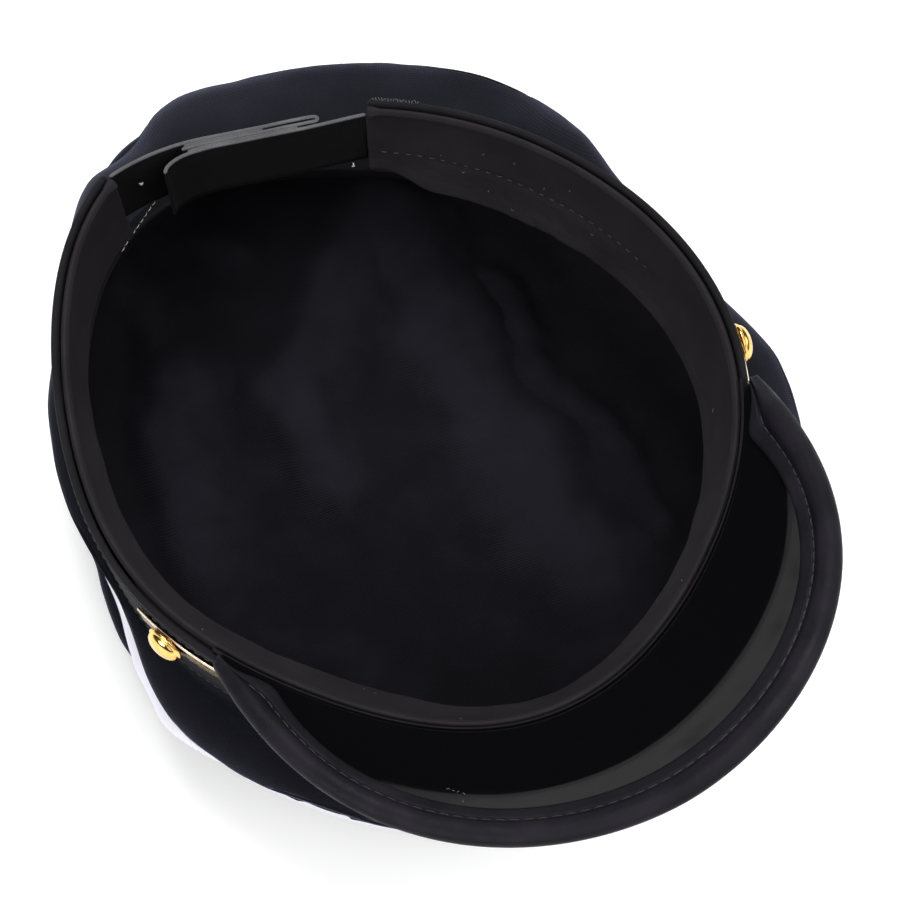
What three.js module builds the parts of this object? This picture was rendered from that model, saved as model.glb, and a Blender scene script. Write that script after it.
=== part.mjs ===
// A soft peaked pilot cap, lying upside down on the flat top of its crown with the opening upwards.
// Millimetres, +Z up. The peak points along -Y, the open strap gap along +Y, and the floor is z = 0.
// An angle is counted round the head opening from the front, and positive towards +X.
import * as THREE from "three";
import { mergeVertices } from "three/addons/utils/BufferGeometryUtils.js";

const RAD = Math.PI / 180;
const GAP = 0.3; // clearance between pieces whose facets line up
const EASE = 0.45; // clearance between curved neighbours whose facets do not line up

// ---- Driving dimensions ----

// The rim is the line round the opening where the head band and the sweatband meet.
const RIM = { halfWidth: 88, halfLength: 98.5, height: 76, meanRadius: 93 };
// Soft departures of the rim from an oval: how far each wave pushes it out, and lifts it.
const RIM_WAVES = [
  { wave: 2, outCos: 0, outSin: 3.2, liftCos: 0, liftSin: 2.8 },
  { wave: 3, outCos: 0, outSin: -1, liftCos: -1.4, liftSin: -2.8 },
  { wave: 4, outCos: 0.7, outSin: 0, liftCos: 0, liftSin: 2 },
  { wave: 5, outCos: 0.9, outSin: -0.5, liftCos: 0.8, liftSin: 0 },
];

const BAND = {
  depth: 38, wall: 2, topOut: 2.4, bottomOut: 1.1, gapHalfAngle: 26, topDrop: 0.2, peakDrop: 0.55,
  peakMargin: 3, peakEase: 4, fold: 1, foldInset: 0.5, stations: 50,
};
const SWEATBAND = {
  depth: 30, headOut: -1.5, lean: 7, leanFront: 3, leanSkew: -3.6, straight: 0.25,
};
// The sweatband's section: how far down each row lies, and how thick the cloth is there.
const SWEATBAND_SECTION = [
  { drop: 0, thick: 1 },
  { drop: 1, thick: 2.4 },
  { drop: 3.5, thick: 1.5 },
  { drop: 16.5, thick: 1.2 },
  { drop: 30, thick: 1.2 },
];
const CROWN = {
  wall: 1.4, tuck: 0.2, rollDrop: 42, seamDrop: 45.5, edgeDrop: 54.5, fullSwell: 22,
  bellyShare: 0.58, hemOut: 0.6, hemUnder: 0.2, floorRound: 20, stations: 60, centreY: 9,
  topInset: 0.2, roundTurns: [0, 28, 52, 74, 90], reaches: [0.8, 0.6, 0.4, 0.2, 0],
};
const PIPING = { radius: 1.3, sides: 6, firstTurn: 30 };

// The crown's soft outline: how far past the rim the side rolls out, and how far out the white
// trim's upper seam, its belly and the piping under it stand.
const CROWN_OUTLINE = [
  { at: -180, roll: 35, seam: 34, belly: 33, edge: 32 },
  { at: -172, roll: 33.2, seam: 32.2, belly: 31.2, edge: 30.2 },
  { at: -162, roll: 28, seam: 27.5, belly: 26.8, edge: 26 },
  { at: -150, roll: 17.5, seam: 17.5, belly: 17.4, edge: 17 },
  { at: -136, roll: 10, seam: 10.3, belly: 10.2, edge: 10 },
  { at: -124, roll: 9.9, seam: 9.6, belly: 9.2, edge: 8.9 },
  { at: -113, roll: 8.4, seam: 7.8, belly: 7.2, edge: 7 },
  { at: -105, roll: 6.8, seam: 6, belly: 5.5, edge: 5.2 },
  { at: -99, roll: 4.9, seam: 4.3, belly: 3.9, edge: 3.6 },
  { at: -94, roll: 3.6, seam: 3.3, belly: 3.4, edge: 4.7 },
  { at: -89, roll: 3.1, seam: 3, belly: 4.2, edge: 6 },
  { at: -85, roll: 4.4, seam: 4.2, belly: 6.3, edge: 7.1 },
  { at: -82, roll: 5.9, seam: 5.6, belly: 8.3, edge: 7.4 },
  { at: -78.5, roll: 8.3, seam: 8, belly: 10.9, edge: 8.8 },
  { at: -75, roll: 10.7, seam: 10.4, belly: 13, edge: 10.9 },
  { at: -72, roll: 12.8, seam: 12.4, belly: 15.4, edge: 13.2 },
  { at: -69, roll: 14.6, seam: 14.2, belly: 16.8, edge: 14 },
  { at: -66, roll: 15.8, seam: 15.3, belly: 16.9, edge: 13.9 },
  { at: -62, roll: 16.7, seam: 16.1, belly: 16.5, edge: 13.4 },
  { at: -57, roll: 17.5, seam: 16.8, belly: 15.8, edge: 12.8 },
  { at: -50, roll: 18.4, seam: 17.4, belly: 15.2, edge: 12.6 },
  { at: -40, roll: 19.1, seam: 18, belly: 15.4, edge: 12.8 },
  { at: -28, roll: 19.4, seam: 18.2, belly: 16, edge: 13.6 },
  { at: 0, roll: 17.6, seam: 17, belly: 15.8, edge: 14.4 },
  { at: 30, roll: 18.2, seam: 18, belly: 17.2, edge: 16.4 },
  { at: 60, roll: 22.6, seam: 22.8, belly: 22.3, edge: 21.6 },
  { at: 74, roll: 23, seam: 23.2, belly: 22.8, edge: 22.2 },
  { at: 86, roll: 17, seam: 17.3, belly: 17.1, edge: 16.8 },
  { at: 98, roll: 14, seam: 14, belly: 13.8, edge: 13.5 },
  { at: 110, roll: 21, seam: 20.5, belly: 19.8, edge: 19 },
  { at: 122, roll: 29.5, seam: 29, belly: 28, edge: 27 },
  { at: 136, roll: 36, seam: 35, belly: 34, edge: 33 },
  { at: 152, roll: 35.8, seam: 34.8, belly: 34, edge: 33 },
  { at: 168, roll: 36, seam: 35, belly: 34, edge: 33 },
];
// The side's section: share of the way out and down to the roll, how much it puffs up between,
// and which way its face leans.
const SIDE_SECTION = [
  { share: 0, fall: 0, puff: 0, leanOut: 1, leanUp: 0, lift: 1 },
  { share: 0.12, fall: 0.25, puff: -1.4, leanOut: 0.8, leanUp: 0.6, lift: 0.9 },
  { share: 0.48, fall: 0.45, puff: 2.2, leanOut: 0.5, leanUp: 0.9, lift: 0.5 },
  { share: 0.86, fall: 0.65, puff: 3, leanOut: 0.7, leanUp: 0.7, lift: 0.25 },
  { share: 1, fall: 1, puff: 0.6, leanOut: 1, leanUp: 0.15, lift: 0.1 },
];

// Folds where the crown's top lifts off the floor: each runs from one point to another.
const TOP_FOLDS = [
  { fromX: 40, fromY: 84, toX: 34, toY: -2, height: 5.4, width: 24 },
  { fromX: 34, fromY: -2, toX: 36, toY: -54, height: 5, width: 25 },
  { fromX: 34, fromY: 84, toX: -20, toY: 44, height: 4.8, width: 20 },
  { fromX: -14, fromY: 40, toX: -17, toY: 15, height: 5, width: 16 },
  { fromX: -46, fromY: 64, toX: -62, toY: 2, height: 3.4, width: 20 },
];

const VISOR = {
  halfAngle: 65.2, wall: 1.6, stations: 34, rungs: 6, rootOut: 0.9, rootLift: 0.6,
  rootLag: 0.7, lagPower: 6,
  tipHalfWidth: 82.5, tipShiftX: 3.6, tipBackY: 42.2, tipReach: 97.6, tipFullness: 0.82,
  tipSkew: 0.8, tipLift: 31, tipTwist: 13, sidePower: 1.06, liftPower: 0.6,
  lastStation: 0.985, bow: 2, bowAt: 0.55, bowSoft: 0.25, bowWidth: 45, leastReach: 1.5,
};
// Section of the binding, from the underside hem round the free edge to the upper-side hem.
// "outer" and "inner" are measured outwards from the edge of the plate, the "off" values across it.
const BINDING = {
  tip: 1.4, taperFrom: 4, taperOver: 13, leastTaper: 0.12, leastThick: 0.7, thickOver: 0.6,
};
const BINDING_SECTION = [
  { outer: -11.5, inner: -11.5, offOut: 2.2, offIn: 1.15 },
  { outer: -7.3, inner: -7.3, offOut: 2.1, offIn: 1.15 },
  { outer: -4, inner: -4, offOut: 3.1, offIn: 1.15 },
  { outer: 1.9, inner: 0.4, offOut: 1.6, offIn: 1.15 },
  { outer: 1.9, inner: 0.4, offOut: -1.6, offIn: -1.15 },
  { outer: -4, inner: -4, offOut: -2.8, offIn: -1.15 },
  { outer: -9.5, inner: -9.5, offOut: -2.2, offIn: -1.15 },
];

const STRAP = { wall: 1, width: 11, topDrop: 6, halfAngle: 79, stations: 32 };
const BUTTON = {
  at: 72.4, drop: 10.8, radius: 5.8, height: 4, bevel: 0.3, bevelRise: 0.4, lip: 0.9,
  domeTurns: [0, 25, 50, 72], sides: 16,
};
const ADJUSTER = { wall: 1, width: 25, topDrop: 0.8 };
// Plan of the left adjuster strap: out along the gap, round its fold, and back inside itself.
const LEFT_STRAP_PLAN = [
  { at: -154.3, out: 0.4 },
  { at: -160, out: -1.9 },
  { at: -167, out: -4 },
  { at: -176, out: -5.7 },
  { at: 176, out: -5.6 },
  { at: 169, out: -4.3 },
  { at: 165, out: -3.4 },
  { at: 163.9, out: -3.7 },
  { at: 164.1, out: -4.7 },
  { at: 165.6, out: -5.2 },
  { at: 170, out: -6.2 },
  { at: 176, out: -7.2 },
  { at: -176, out: -7.4 },
  { at: -168, out: -6.2 },
];
// Plan of the right adjuster strap, which lies inside the left one and curls in at its free end.
const RIGHT_STRAP_PLAN = [
  { at: 154.3, out: -2.6 },
  { at: 160, out: -4.9 },
  { at: 166, out: -6.9 },
  { at: 172, out: -8.2 },
  { at: 180, out: -9.1 },
  { at: -172, out: -8.6 },
  { at: -167, out: -8.2 },
  { at: -163.5, out: -8.8 },
  { at: -161.8, out: -10.2 },
];

// ---- Geometry helpers ----

// Value of one column at an angle, on a smooth closed curve through the table's rows.
function around(rows, column, angle) {
  const n = rows.length;
  const first = rows[0].at;
  const a = first + ((((angle - first) % 360) + 360) % 360);
  const at = (i) => rows[((i % n) + n) % n].at + 360 * Math.floor(i / n);
  const value = (i) => rows[((i % n) + n) % n][column];
  let i = 0;
  while (i < n - 1 && at(i + 1) <= a) i += 1;
  const span = at(i + 1) - at(i);
  const u = (a - at(i)) / span;
  const slopeIn = ((value(i + 1) - value(i - 1)) / (at(i + 1) - at(i - 1))) * span;
  const slopeOut = ((value(i + 2) - value(i)) / (at(i + 2) - at(i))) * span;
  const h = 2 * u ** 3 - 3 * u ** 2 + 1;
  return (
    h * value(i) + (1 - h) * value(i + 1) +
    (u ** 3 - 2 * u ** 2 + u) * slopeIn + (u ** 3 - u ** 2) * slopeOut
  );
}

function rimPoint(angle) {
  const a = angle * RAD;
  let radius = RIM.meanRadius;
  let lift = 0;
  for (const w of RIM_WAVES) {
    radius += w.outCos * Math.cos(w.wave * a) + w.outSin * Math.sin(w.wave * a);
    lift += w.liftCos * Math.cos(w.wave * a) + w.liftSin * Math.sin(w.wave * a);
  }
  const share = radius / RIM.meanRadius;
  return new THREE.Vector3(
    RIM.halfWidth * share * Math.sin(a),
    -RIM.halfLength * share * Math.cos(a),
    RIM.height + lift,
  );
}

function rimNormal(angle) {
  const step = 0.5;
  const along = rimPoint(angle + step).sub(rimPoint(angle - step));
  return new THREE.Vector3(along.y, -along.x, 0).normalize();
}

// A point beside the rim: "out" past it and "up" from it.
function besideRim(angle, out, up) {
  const p = rimPoint(angle).addScaledVector(rimNormal(angle), out);
  p.z += up;
  return p;
}

// A point out past the rim at a true height above the floor, following "share" of the rim's lift.
function aboveFloor(angle, out, height, share = 0) {
  const p = rimPoint(angle);
  const lift = p.z - RIM.height;
  p.addScaledVector(rimNormal(angle), out);
  p.z = height + share * lift;
  return p;
}

// A closed body from rows of section points. Each section is a closed polygon whose first half
// runs along one face and whose second half comes back along the other.
function bodyFromSections(sections, closed) {
  const count = sections.length;
  const points = sections[0].length;
  const positions = [];
  for (const section of sections) {
    for (const p of section) positions.push(p.x, p.y, p.z);
  }
  const index = [];
  const quad = (a, b, c, d) => index.push(a, b, c, a, c, d);
  const last = closed ? count : count - 1;
  for (let i = 0; i < last; i += 1) {
    const here = i * points;
    const next = ((i + 1) % count) * points;
    for (let j = 0; j < points; j += 1) {
      const k = (j + 1) % points;
      quad(here + j, next + j, next + k, here + k);
    }
  }
  if (!closed) {
    const end = (count - 1) * points;
    for (let j = 0; j < points / 2 - 1; j += 1) {
      const m = points - 1 - j;
      quad(j, j + 1, m - 1, m);
      quad(end + j, end + m, end + m - 1, end + j + 1);
    }
  }
  return faceOutwards(positions, index);
}

// Merges shared points, drops faces that have shrunk to a line, and turns the body right side out.
function faceOutwards(positions, index) {
  const raw = new THREE.BufferGeometry();
  raw.setAttribute("position", new THREE.Float32BufferAttribute(positions, 3));
  raw.setIndex(index);
  const merged = mergeVertices(raw, 1e-3);
  const p = merged.getAttribute("position");
  const old = merged.index.array;
  const kept = [];
  const [a, b, c] = [new THREE.Vector3(), new THREE.Vector3(), new THREE.Vector3()];
  let volume = 0;
  for (let i = 0; i < old.length; i += 3) {
    const [ia, ib, ic] = [old[i], old[i + 1], old[i + 2]];
    if (ia === ib || ib === ic || ia === ic) continue;
    kept.push(ia, ib, ic);
    a.fromBufferAttribute(p, ia);
    b.fromBufferAttribute(p, ib);
    c.fromBufferAttribute(p, ic);
    volume += a.dot(b.cross(c));
  }
  if (volume < 0) {
    for (let i = 0; i < kept.length; i += 3) [kept[i], kept[i + 1]] = [kept[i + 1], kept[i]];
  }
  merged.setIndex(kept);
  merged.computeVertexNormals();
  return merged;
}

// Angles in even steps from one to another; a full turn leaves out its last angle.
function steps(from, to, count) {
  const full = Math.abs(to - from) >= 360;
  const divisions = full ? count : count - 1;
  return Array.from({ length: count }, (_, i) => from + ((to - from) * i) / divisions);
}

// Section polygon from rungs of {outer, inner} points.
function ladder(rungs) {
  return [...rungs.map((r) => r.outer), ...rungs.map((r) => r.inner).reverse()];
}

// ---- Crown ----

function crownProfile(angle) {
  const read = (column) => around(CROWN_OUTLINE, column, angle);
  return { roll: read("roll"), seam: read("seam"), belly: read("belly"), edge: read("edge") };
}

// A rung through a wall whose outer face is at (out, height), leaning by its outward direction.
function wallRung(angle, out, height, leanOut, leanUp, share = 0) {
  const length = Math.hypot(leanOut, leanUp);
  const inOut = out - (CROWN.wall * leanOut) / length;
  const inUp = height - (CROWN.wall * leanUp) / length;
  return {
    outer: aboveFloor(angle, out, height, share),
    inner: aboveFloor(angle, inOut, inUp, share),
  };
}

const rollHeight = RIM.height - CROWN.rollDrop;
const seamHeight = RIM.height - CROWN.seamDrop;
const edgeHeight = RIM.height - CROWN.edgeDrop;

function crownSideGeometry() {
  const top = RIM.height - BAND.depth - EASE;
  const start = BAND.bottomOut - CROWN.tuck;
  const sections = steps(-180, 180, CROWN.stations).map((angle) => {
    const c = crownProfile(angle);
    const swell = c.roll - start;
    const fullness = Math.min(swell / CROWN.fullSwell, 1);
    const rungs = SIDE_SECTION.map((row) => {
      const height = top + (rollHeight - top) * row.fall + row.puff * fullness;
      const out = start + row.share * swell;
      return wallRung(angle, out, height, row.leanOut, row.leanUp, row.lift);
    });
    return ladder([...rungs, wallRung(angle, c.seam, seamHeight + GAP / 2, 1, 0)]);
  });
  return bodyFromSections(sections, true);
}

function crownTrimGeometry() {
  const high = seamHeight - GAP / 2;
  const low = edgeHeight + PIPING.radius + GAP;
  const sections = steps(-180, 180, CROWN.stations).map((angle) => {
    const c = crownProfile(angle);
    const bellyHeight = high + (low - high) * CROWN.bellyShare;
    const hem = Math.min(c.edge + CROWN.hemOut, c.belly - CROWN.hemUnder);
    return ladder([
      wallRung(angle, c.seam, high, 1, 0),
      wallRung(angle, c.belly, bellyHeight, 1, 0),
      wallRung(angle, hem, low, 1, 0),
    ]);
  });
  return bodyFromSections(sections, true);
}

function crownPipingGeometry() {
  const sections = steps(-180, 180, CROWN.stations).map((angle) => {
    const c = crownProfile(angle);
    return steps(PIPING.firstTurn, PIPING.firstTurn + 360, PIPING.sides).map((turn) =>
      aboveFloor(
        angle,
        c.edge + PIPING.radius * Math.cos(turn * RAD),
        edgeHeight + PIPING.radius * Math.sin(turn * RAD),
      ),
    );
  });
  return bodyFromSections(sections, true);
}

// How far the folds lift the crown's top off the floor at a point.
function topLift(x, y) {
  let lift = 0;
  for (const f of TOP_FOLDS) {
    const from = new THREE.Vector2(f.fromX, f.fromY);
    const along = new THREE.Vector2(f.toX, f.toY).sub(from);
    const offset = new THREE.Vector2(x, y).sub(from);
    const t = THREE.MathUtils.clamp(offset.dot(along) / along.lengthSq(), 0, 1);
    const away = offset.addScaledVector(along, -t).length() / f.width;
    if (away < 1) lift = Math.max(lift, f.height * (1 - away ** 2) ** 2);
  }
  return lift;
}

function crownTopGeometry() {
  const centre = new THREE.Vector3(0, CROWN.centreY, 0);
  const high = edgeHeight - PIPING.radius - GAP;
  const sections = steps(-180, 180, CROWN.stations).map((angle) => {
    const c = crownProfile(angle);
    const rungs = CROWN.roundTurns.map((turn) => {
      const [s, k] = [Math.sin(turn * RAD), Math.cos(turn * RAD)];
      const out = c.edge - CROWN.topInset - CROWN.floorRound * (1 - k);
      return wallRung(angle, out, high * (1 - s), k, -s);
    });
    const foot = rungs[rungs.length - 1].outer;
    for (const reach of CROWN.reaches) {
      const outer = centre.clone().lerp(new THREE.Vector3(foot.x, foot.y, 0), reach);
      outer.z = topLift(outer.x, outer.y);
      const inner = outer.clone();
      inner.z += CROWN.wall;
      rungs.push({ outer, inner });
    }
    return ladder(rungs);
  });
  return bodyFromSections(sections, true);
}

// ---- Head band and sweatband ----

function bandOut(drop) {
  return BAND.topOut + ((BAND.bottomOut - BAND.topOut) * drop) / BAND.depth;
}

// The band's top edge drops a little where the peak's root lies on it.
function bandTopDrop(angle) {
  const into = (VISOR.halfAngle + BAND.peakMargin - Math.abs(angle)) / BAND.peakEase;
  return BAND.topDrop + BAND.peakDrop * THREE.MathUtils.clamp(into, 0, 1);
}

// A body that runs round the head from one side of the back gap to the other.
function openRoundBack(section) {
  const reach = 180 - BAND.gapHalfAngle;
  return bodyFromSections(steps(-reach, reach, BAND.stations).map(section), false);
}

function capBandGeometry() {
  return openRoundBack((angle) => {
    const top = bandTopDrop(angle);
    const rung = (drop, inset) => ({
      outer: besideRim(angle, bandOut(drop) - inset, -drop),
      inner: besideRim(angle, bandOut(drop) - BAND.wall + inset, -drop),
    });
    return ladder([
      rung(top, BAND.foldInset),
      rung(top + BAND.fold, 0),
      rung(BAND.depth / 2, 0),
      rung(BAND.depth, 0),
    ]);
  });
}

function sweatbandLean(angle) {
  const a = angle * RAD;
  return (
    SWEATBAND.lean + SWEATBAND.leanFront * Math.cos(a) + SWEATBAND.leanSkew * Math.sin(2 * a)
  );
}

function sweatbandGeometry() {
  return openRoundBack((angle) => {
    const lean = sweatbandLean(angle);
    const rungs = SWEATBAND_SECTION.map(({ drop, thick }) => {
      const share = drop / SWEATBAND.depth;
      const curve = SWEATBAND.straight * share + (1 - SWEATBAND.straight) * share ** 2;
      const middle = SWEATBAND.headOut - lean * curve;
      return {
        outer: besideRim(angle, middle + thick / 2, -drop),
        inner: besideRim(angle, middle - thick / 2, -drop),
      };
    });
    return ladder(rungs);
  });
}

// ---- Peak and its binding ----

// Signed power, so that a half turn keeps its sign.
function keepSign(value, power) {
  return Math.sign(value) * Math.abs(value) ** power;
}

// The peak's free edge, from -1 at the wearer's left end to +1 at the right one.
function visorTip(s) {
  const u = (s * Math.PI) / 2;
  const full = Math.cos(u);
  return new THREE.Vector3(
    VISOR.tipShiftX + VISOR.tipHalfWidth * keepSign(Math.sin(u), VISOR.sidePower),
    -(VISOR.tipBackY + VISOR.tipReach * full ** VISOR.tipFullness
      + VISOR.tipSkew * Math.sin(u) * full),
    RIM.height + VISOR.rootLift + VISOR.tipLift * full ** VISOR.liftPower
      + VISOR.tipTwist * Math.sin(u) * full,
  );
}

// How far the peak bows down at a share of its width: two flat slopes and a soft bend between.
function visorBow(share) {
  const rise = share / VISOR.bowAt;
  const fall = (1 - share) / (1 - VISOR.bowAt);
  return Math.max((rise + fall - Math.hypot(rise - fall, VISOR.bowSoft)) / 2, 0);
}

// The peak's sewn edge. Near the ends its stations run faster, so that they stay square on to
// the free edge.
function visorRoot(s) {
  const full = Math.cos((s * Math.PI) / 2) ** VISOR.tipFullness;
  const lag = VISOR.rootLag * full * keepSign(s, VISOR.lagPower);
  return besideRim((s - lag) * VISOR.halfAngle, VISOR.rootOut, VISOR.rootLift);
}

// The peak's middle line at one station: its root, its tip, and its slight bow between.
function visorLine(s) {
  const [root, tip] = [visorRoot(s), visorTip(s)];
  const step = 0.01;
  const rootAlong = visorRoot(s + step).sub(visorRoot(s - step));
  const tipAlong = visorTip(s + step).sub(visorTip(s - step));
  const width = root.distanceTo(tip);
  const outward = tip.clone().sub(root).normalize();
  const face = (share) =>
    outward.clone().cross(rootAlong.clone().lerp(tipAlong, share)).normalize();
  const reach = Math.max(width - BINDING.tip, VISOR.leastReach);
  const bow = VISOR.bow * Math.min(width / VISOR.bowWidth, 1) ** 2;
  const middle = (share) =>
    root.clone()
      .addScaledVector(outward, share * reach)
      .addScaledVector(face(share), -bow * visorBow(share));
  return { outward, face, width, reach, middle };
}

// Stations along the peak, closer together towards its ends.
const visorStations = steps(-1, 1, VISOR.stations).map(
  (t) => (VISOR.lastStation * (t + Math.sin((t * Math.PI) / 2))) / 2,
);

function visorGeometry() {
  const sections = visorStations.map((s) => {
    const { face, middle } = visorLine(s);
    const rungs = steps(0, 1, VISOR.rungs).map((share) => ({
      outer: middle(share).addScaledVector(face(share), VISOR.wall / 2),
      inner: middle(share).addScaledVector(face(share), -VISOR.wall / 2),
    }));
    return ladder(rungs);
  });
  return bodyFromSections(sections, false);
}

function visorBindingGeometry() {
  const sections = visorStations.map((s) => {
    const { outward, face, width, reach, middle } = visorLine(s);
    const taper = THREE.MathUtils.clamp(
      (width - BINDING.taperFrom) / BINDING.taperOver, BINDING.leastTaper, 1,
    );
    const thick = THREE.MathUtils.lerp(
      BINDING.leastThick, 1, Math.min(taper / BINDING.thickOver, 1),
    );
    const at = (out, up) => {
      const share = 1 + (Math.min(out, 0) * taper) / reach;
      return middle(share)
        .addScaledVector(outward, Math.max(out, 0))
        .addScaledVector(face(share), up);
    };
    const rungs = BINDING_SECTION.map((row) => ({
      outer: at(row.outer, row.offOut * thick),
      inner: at(row.inner, row.offIn),
    }));
    return ladder(rungs);
  });
  return bodyFromSections(sections, false);
}

// ---- Chin strap, buttons and adjuster straps ----

function strapOut(drop) {
  return bandOut(drop) + EASE;
}

function chinStrapGeometry() {
  const sections = steps(-STRAP.halfAngle, STRAP.halfAngle, STRAP.stations).map((angle) =>
    ladder(
      [STRAP.topDrop, STRAP.topDrop + STRAP.width].map((drop) => ({
        outer: besideRim(angle, strapOut(drop) + STRAP.wall, -drop),
        inner: besideRim(angle, strapOut(drop), -drop),
      })),
    ),
  );
  return bodyFromSections(sections, false);
}

function buttonGeometry() {
  const { radius, height, lip, bevel, bevelRise, domeTurns } = BUTTON;
  const profile = [new THREE.Vector2(0, 0), new THREE.Vector2(radius - bevel, 0)];
  profile.push(new THREE.Vector2(radius, bevelRise));
  for (const turn of domeTurns) {
    const spread = radius * Math.cos(turn * RAD);
    profile.push(new THREE.Vector2(spread, lip + (height - lip) * Math.sin(turn * RAD)));
  }
  profile.push(new THREE.Vector2(0, height));
  return new THREE.LatheGeometry(profile, BUTTON.sides);
}

// A ribbon on its edge that follows rows of {at, out} round the rim.
function ribbonGeometry(plan) {
  const path = plan.map((row) => besideRim(row.at, row.out, -ADJUSTER.topDrop));
  const sections = path.map((p, i) => {
    const before = path[Math.max(i - 1, 0)];
    const after = path[Math.min(i + 1, path.length - 1)];
    const side = new THREE.Vector3(after.y - before.y, before.x - after.x, 0).normalize();
    const rung = (drop) => {
      const middle = p.clone();
      middle.z -= drop;
      return {
        outer: middle.clone().addScaledVector(side, ADJUSTER.wall / 2),
        inner: middle.clone().addScaledVector(side, -ADJUSTER.wall / 2),
      };
    };
    return ladder([rung(0), rung(ADJUSTER.width)]);
  });
  return bodyFromSections(sections, false);
}

// ---- Assembly ----

const NAVY = { color: "#1b1d2b", roughness: 0.9, metalness: 0 };
const BLACK_CLOTH = { color: "#131316", roughness: 0.9, metalness: 0 };
const BROWN_BLACK = { color: "#231f22", roughness: 0.85, metalness: 0 };
const WHITE_CLOTH = { color: "#e9e6f2", roughness: 0.85, metalness: 0 };
const GLOSS_BLACK = { color: "#0b0b0c", roughness: 0.15, metalness: 0 };
const LEATHERETTE = { color: "#1a1a1c", roughness: 0.45, metalness: 0 };
const GOLD_BRAID = { color: "#d9b98a", roughness: 0.4, metalness: 0.7 };
const GOLD = { color: "#d9a941", roughness: 0.15, metalness: 1 };

const cap = new THREE.Group();

function add(name, geometry, finish) {
  const mesh = new THREE.Mesh(geometry, new THREE.MeshStandardMaterial(finish));
  mesh.name = name;
  cap.add(mesh);
  return mesh;
}

add("crown_side", crownSideGeometry(), NAVY);
add("crown_trim", crownTrimGeometry(), WHITE_CLOTH);
add("crown_piping", crownPipingGeometry(), NAVY);
add("crown_top", crownTopGeometry(), NAVY);
add("cap_band", capBandGeometry(), BLACK_CLOTH);
add("sweatband", sweatbandGeometry(), BROWN_BLACK);
add("visor", visorGeometry(), GLOSS_BLACK);
add("visor_binding", visorBindingGeometry(), LEATHERETTE);
add("chin_strap", chinStrapGeometry(), GOLD_BRAID);
for (const [name, side] of [["button_left", -1], ["button_right", 1]]) {
  const button = add(name, buttonGeometry(), GOLD);
  const angle = side * BUTTON.at;
  const out = strapOut(BUTTON.drop) + STRAP.wall + EASE;
  button.position.copy(besideRim(angle, out, -BUTTON.drop));
  button.quaternion.setFromUnitVectors(new THREE.Vector3(0, 1, 0), rimNormal(angle));
}
add("adjuster_strap_left", ribbonGeometry(LEFT_STRAP_PLAN), BLACK_CLOTH);
add("adjuster_strap_right", ribbonGeometry(RIGHT_STRAP_PLAN), BLACK_CLOTH);

export default cap;
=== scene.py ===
"""A soft peaked pilot cap that lies upside down on the flat top of its crown, with the opening up.

Sizes are in millimetres and angles in degrees. An angle is counted round the head opening from the
front, and is positive towards +X. Meshes are made in metres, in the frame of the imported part.
"""

from __future__ import annotations

import logging
import math
from dataclasses import dataclass
from enum import Enum

import bmesh
import bpy
import numpy as np
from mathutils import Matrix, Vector, noise

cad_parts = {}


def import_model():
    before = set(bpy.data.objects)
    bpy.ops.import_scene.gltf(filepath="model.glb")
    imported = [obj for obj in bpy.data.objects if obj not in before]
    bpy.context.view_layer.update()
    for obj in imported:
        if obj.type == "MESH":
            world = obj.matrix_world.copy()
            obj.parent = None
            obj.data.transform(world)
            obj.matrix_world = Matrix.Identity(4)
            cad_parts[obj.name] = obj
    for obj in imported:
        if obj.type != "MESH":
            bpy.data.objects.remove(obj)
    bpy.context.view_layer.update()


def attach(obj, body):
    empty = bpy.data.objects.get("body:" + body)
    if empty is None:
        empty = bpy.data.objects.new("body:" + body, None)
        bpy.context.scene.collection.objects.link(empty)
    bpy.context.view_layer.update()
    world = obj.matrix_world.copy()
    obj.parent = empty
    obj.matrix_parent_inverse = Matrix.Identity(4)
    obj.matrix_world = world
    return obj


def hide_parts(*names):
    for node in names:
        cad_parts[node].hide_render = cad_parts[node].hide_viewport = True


Array = np.ndarray
Piece = bpy.types.Object
Socket = bpy.types.NodeSocket
Colour = tuple[float, float, float]
Ripples = tuple[tuple[float, float, float], ...]  # height, width and pattern of each
Plan = tuple[tuple[float, float], ...]  # rows of two numbers

MM = 0.001
UPWARD = np.array([0.0, 0.0, 1.0])
PATTERN_STEP = 13.7  # how far apart two patterns are read from the noise
CUT_UNIT = 0.1  # one unit of the cut map is a centimetre of cloth
BODY = "root"
LOG = logging.getLogger("pilot_cap")


# ------------ Curves and forms that several pieces share ------------


def run_lengths(points: Array) -> Array:
    """Distance along lines of points from their first point to each one.

    Args:
        points: one line of points, or lines with their points along the last axis but one.

    Returns:
        One distance for each point.
    """
    steps = np.linalg.norm(np.diff(points, axis=-2), axis=-1)
    return np.concatenate([np.zeros_like(steps[..., :1]), np.cumsum(steps, axis=-1)], axis=-1)


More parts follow.
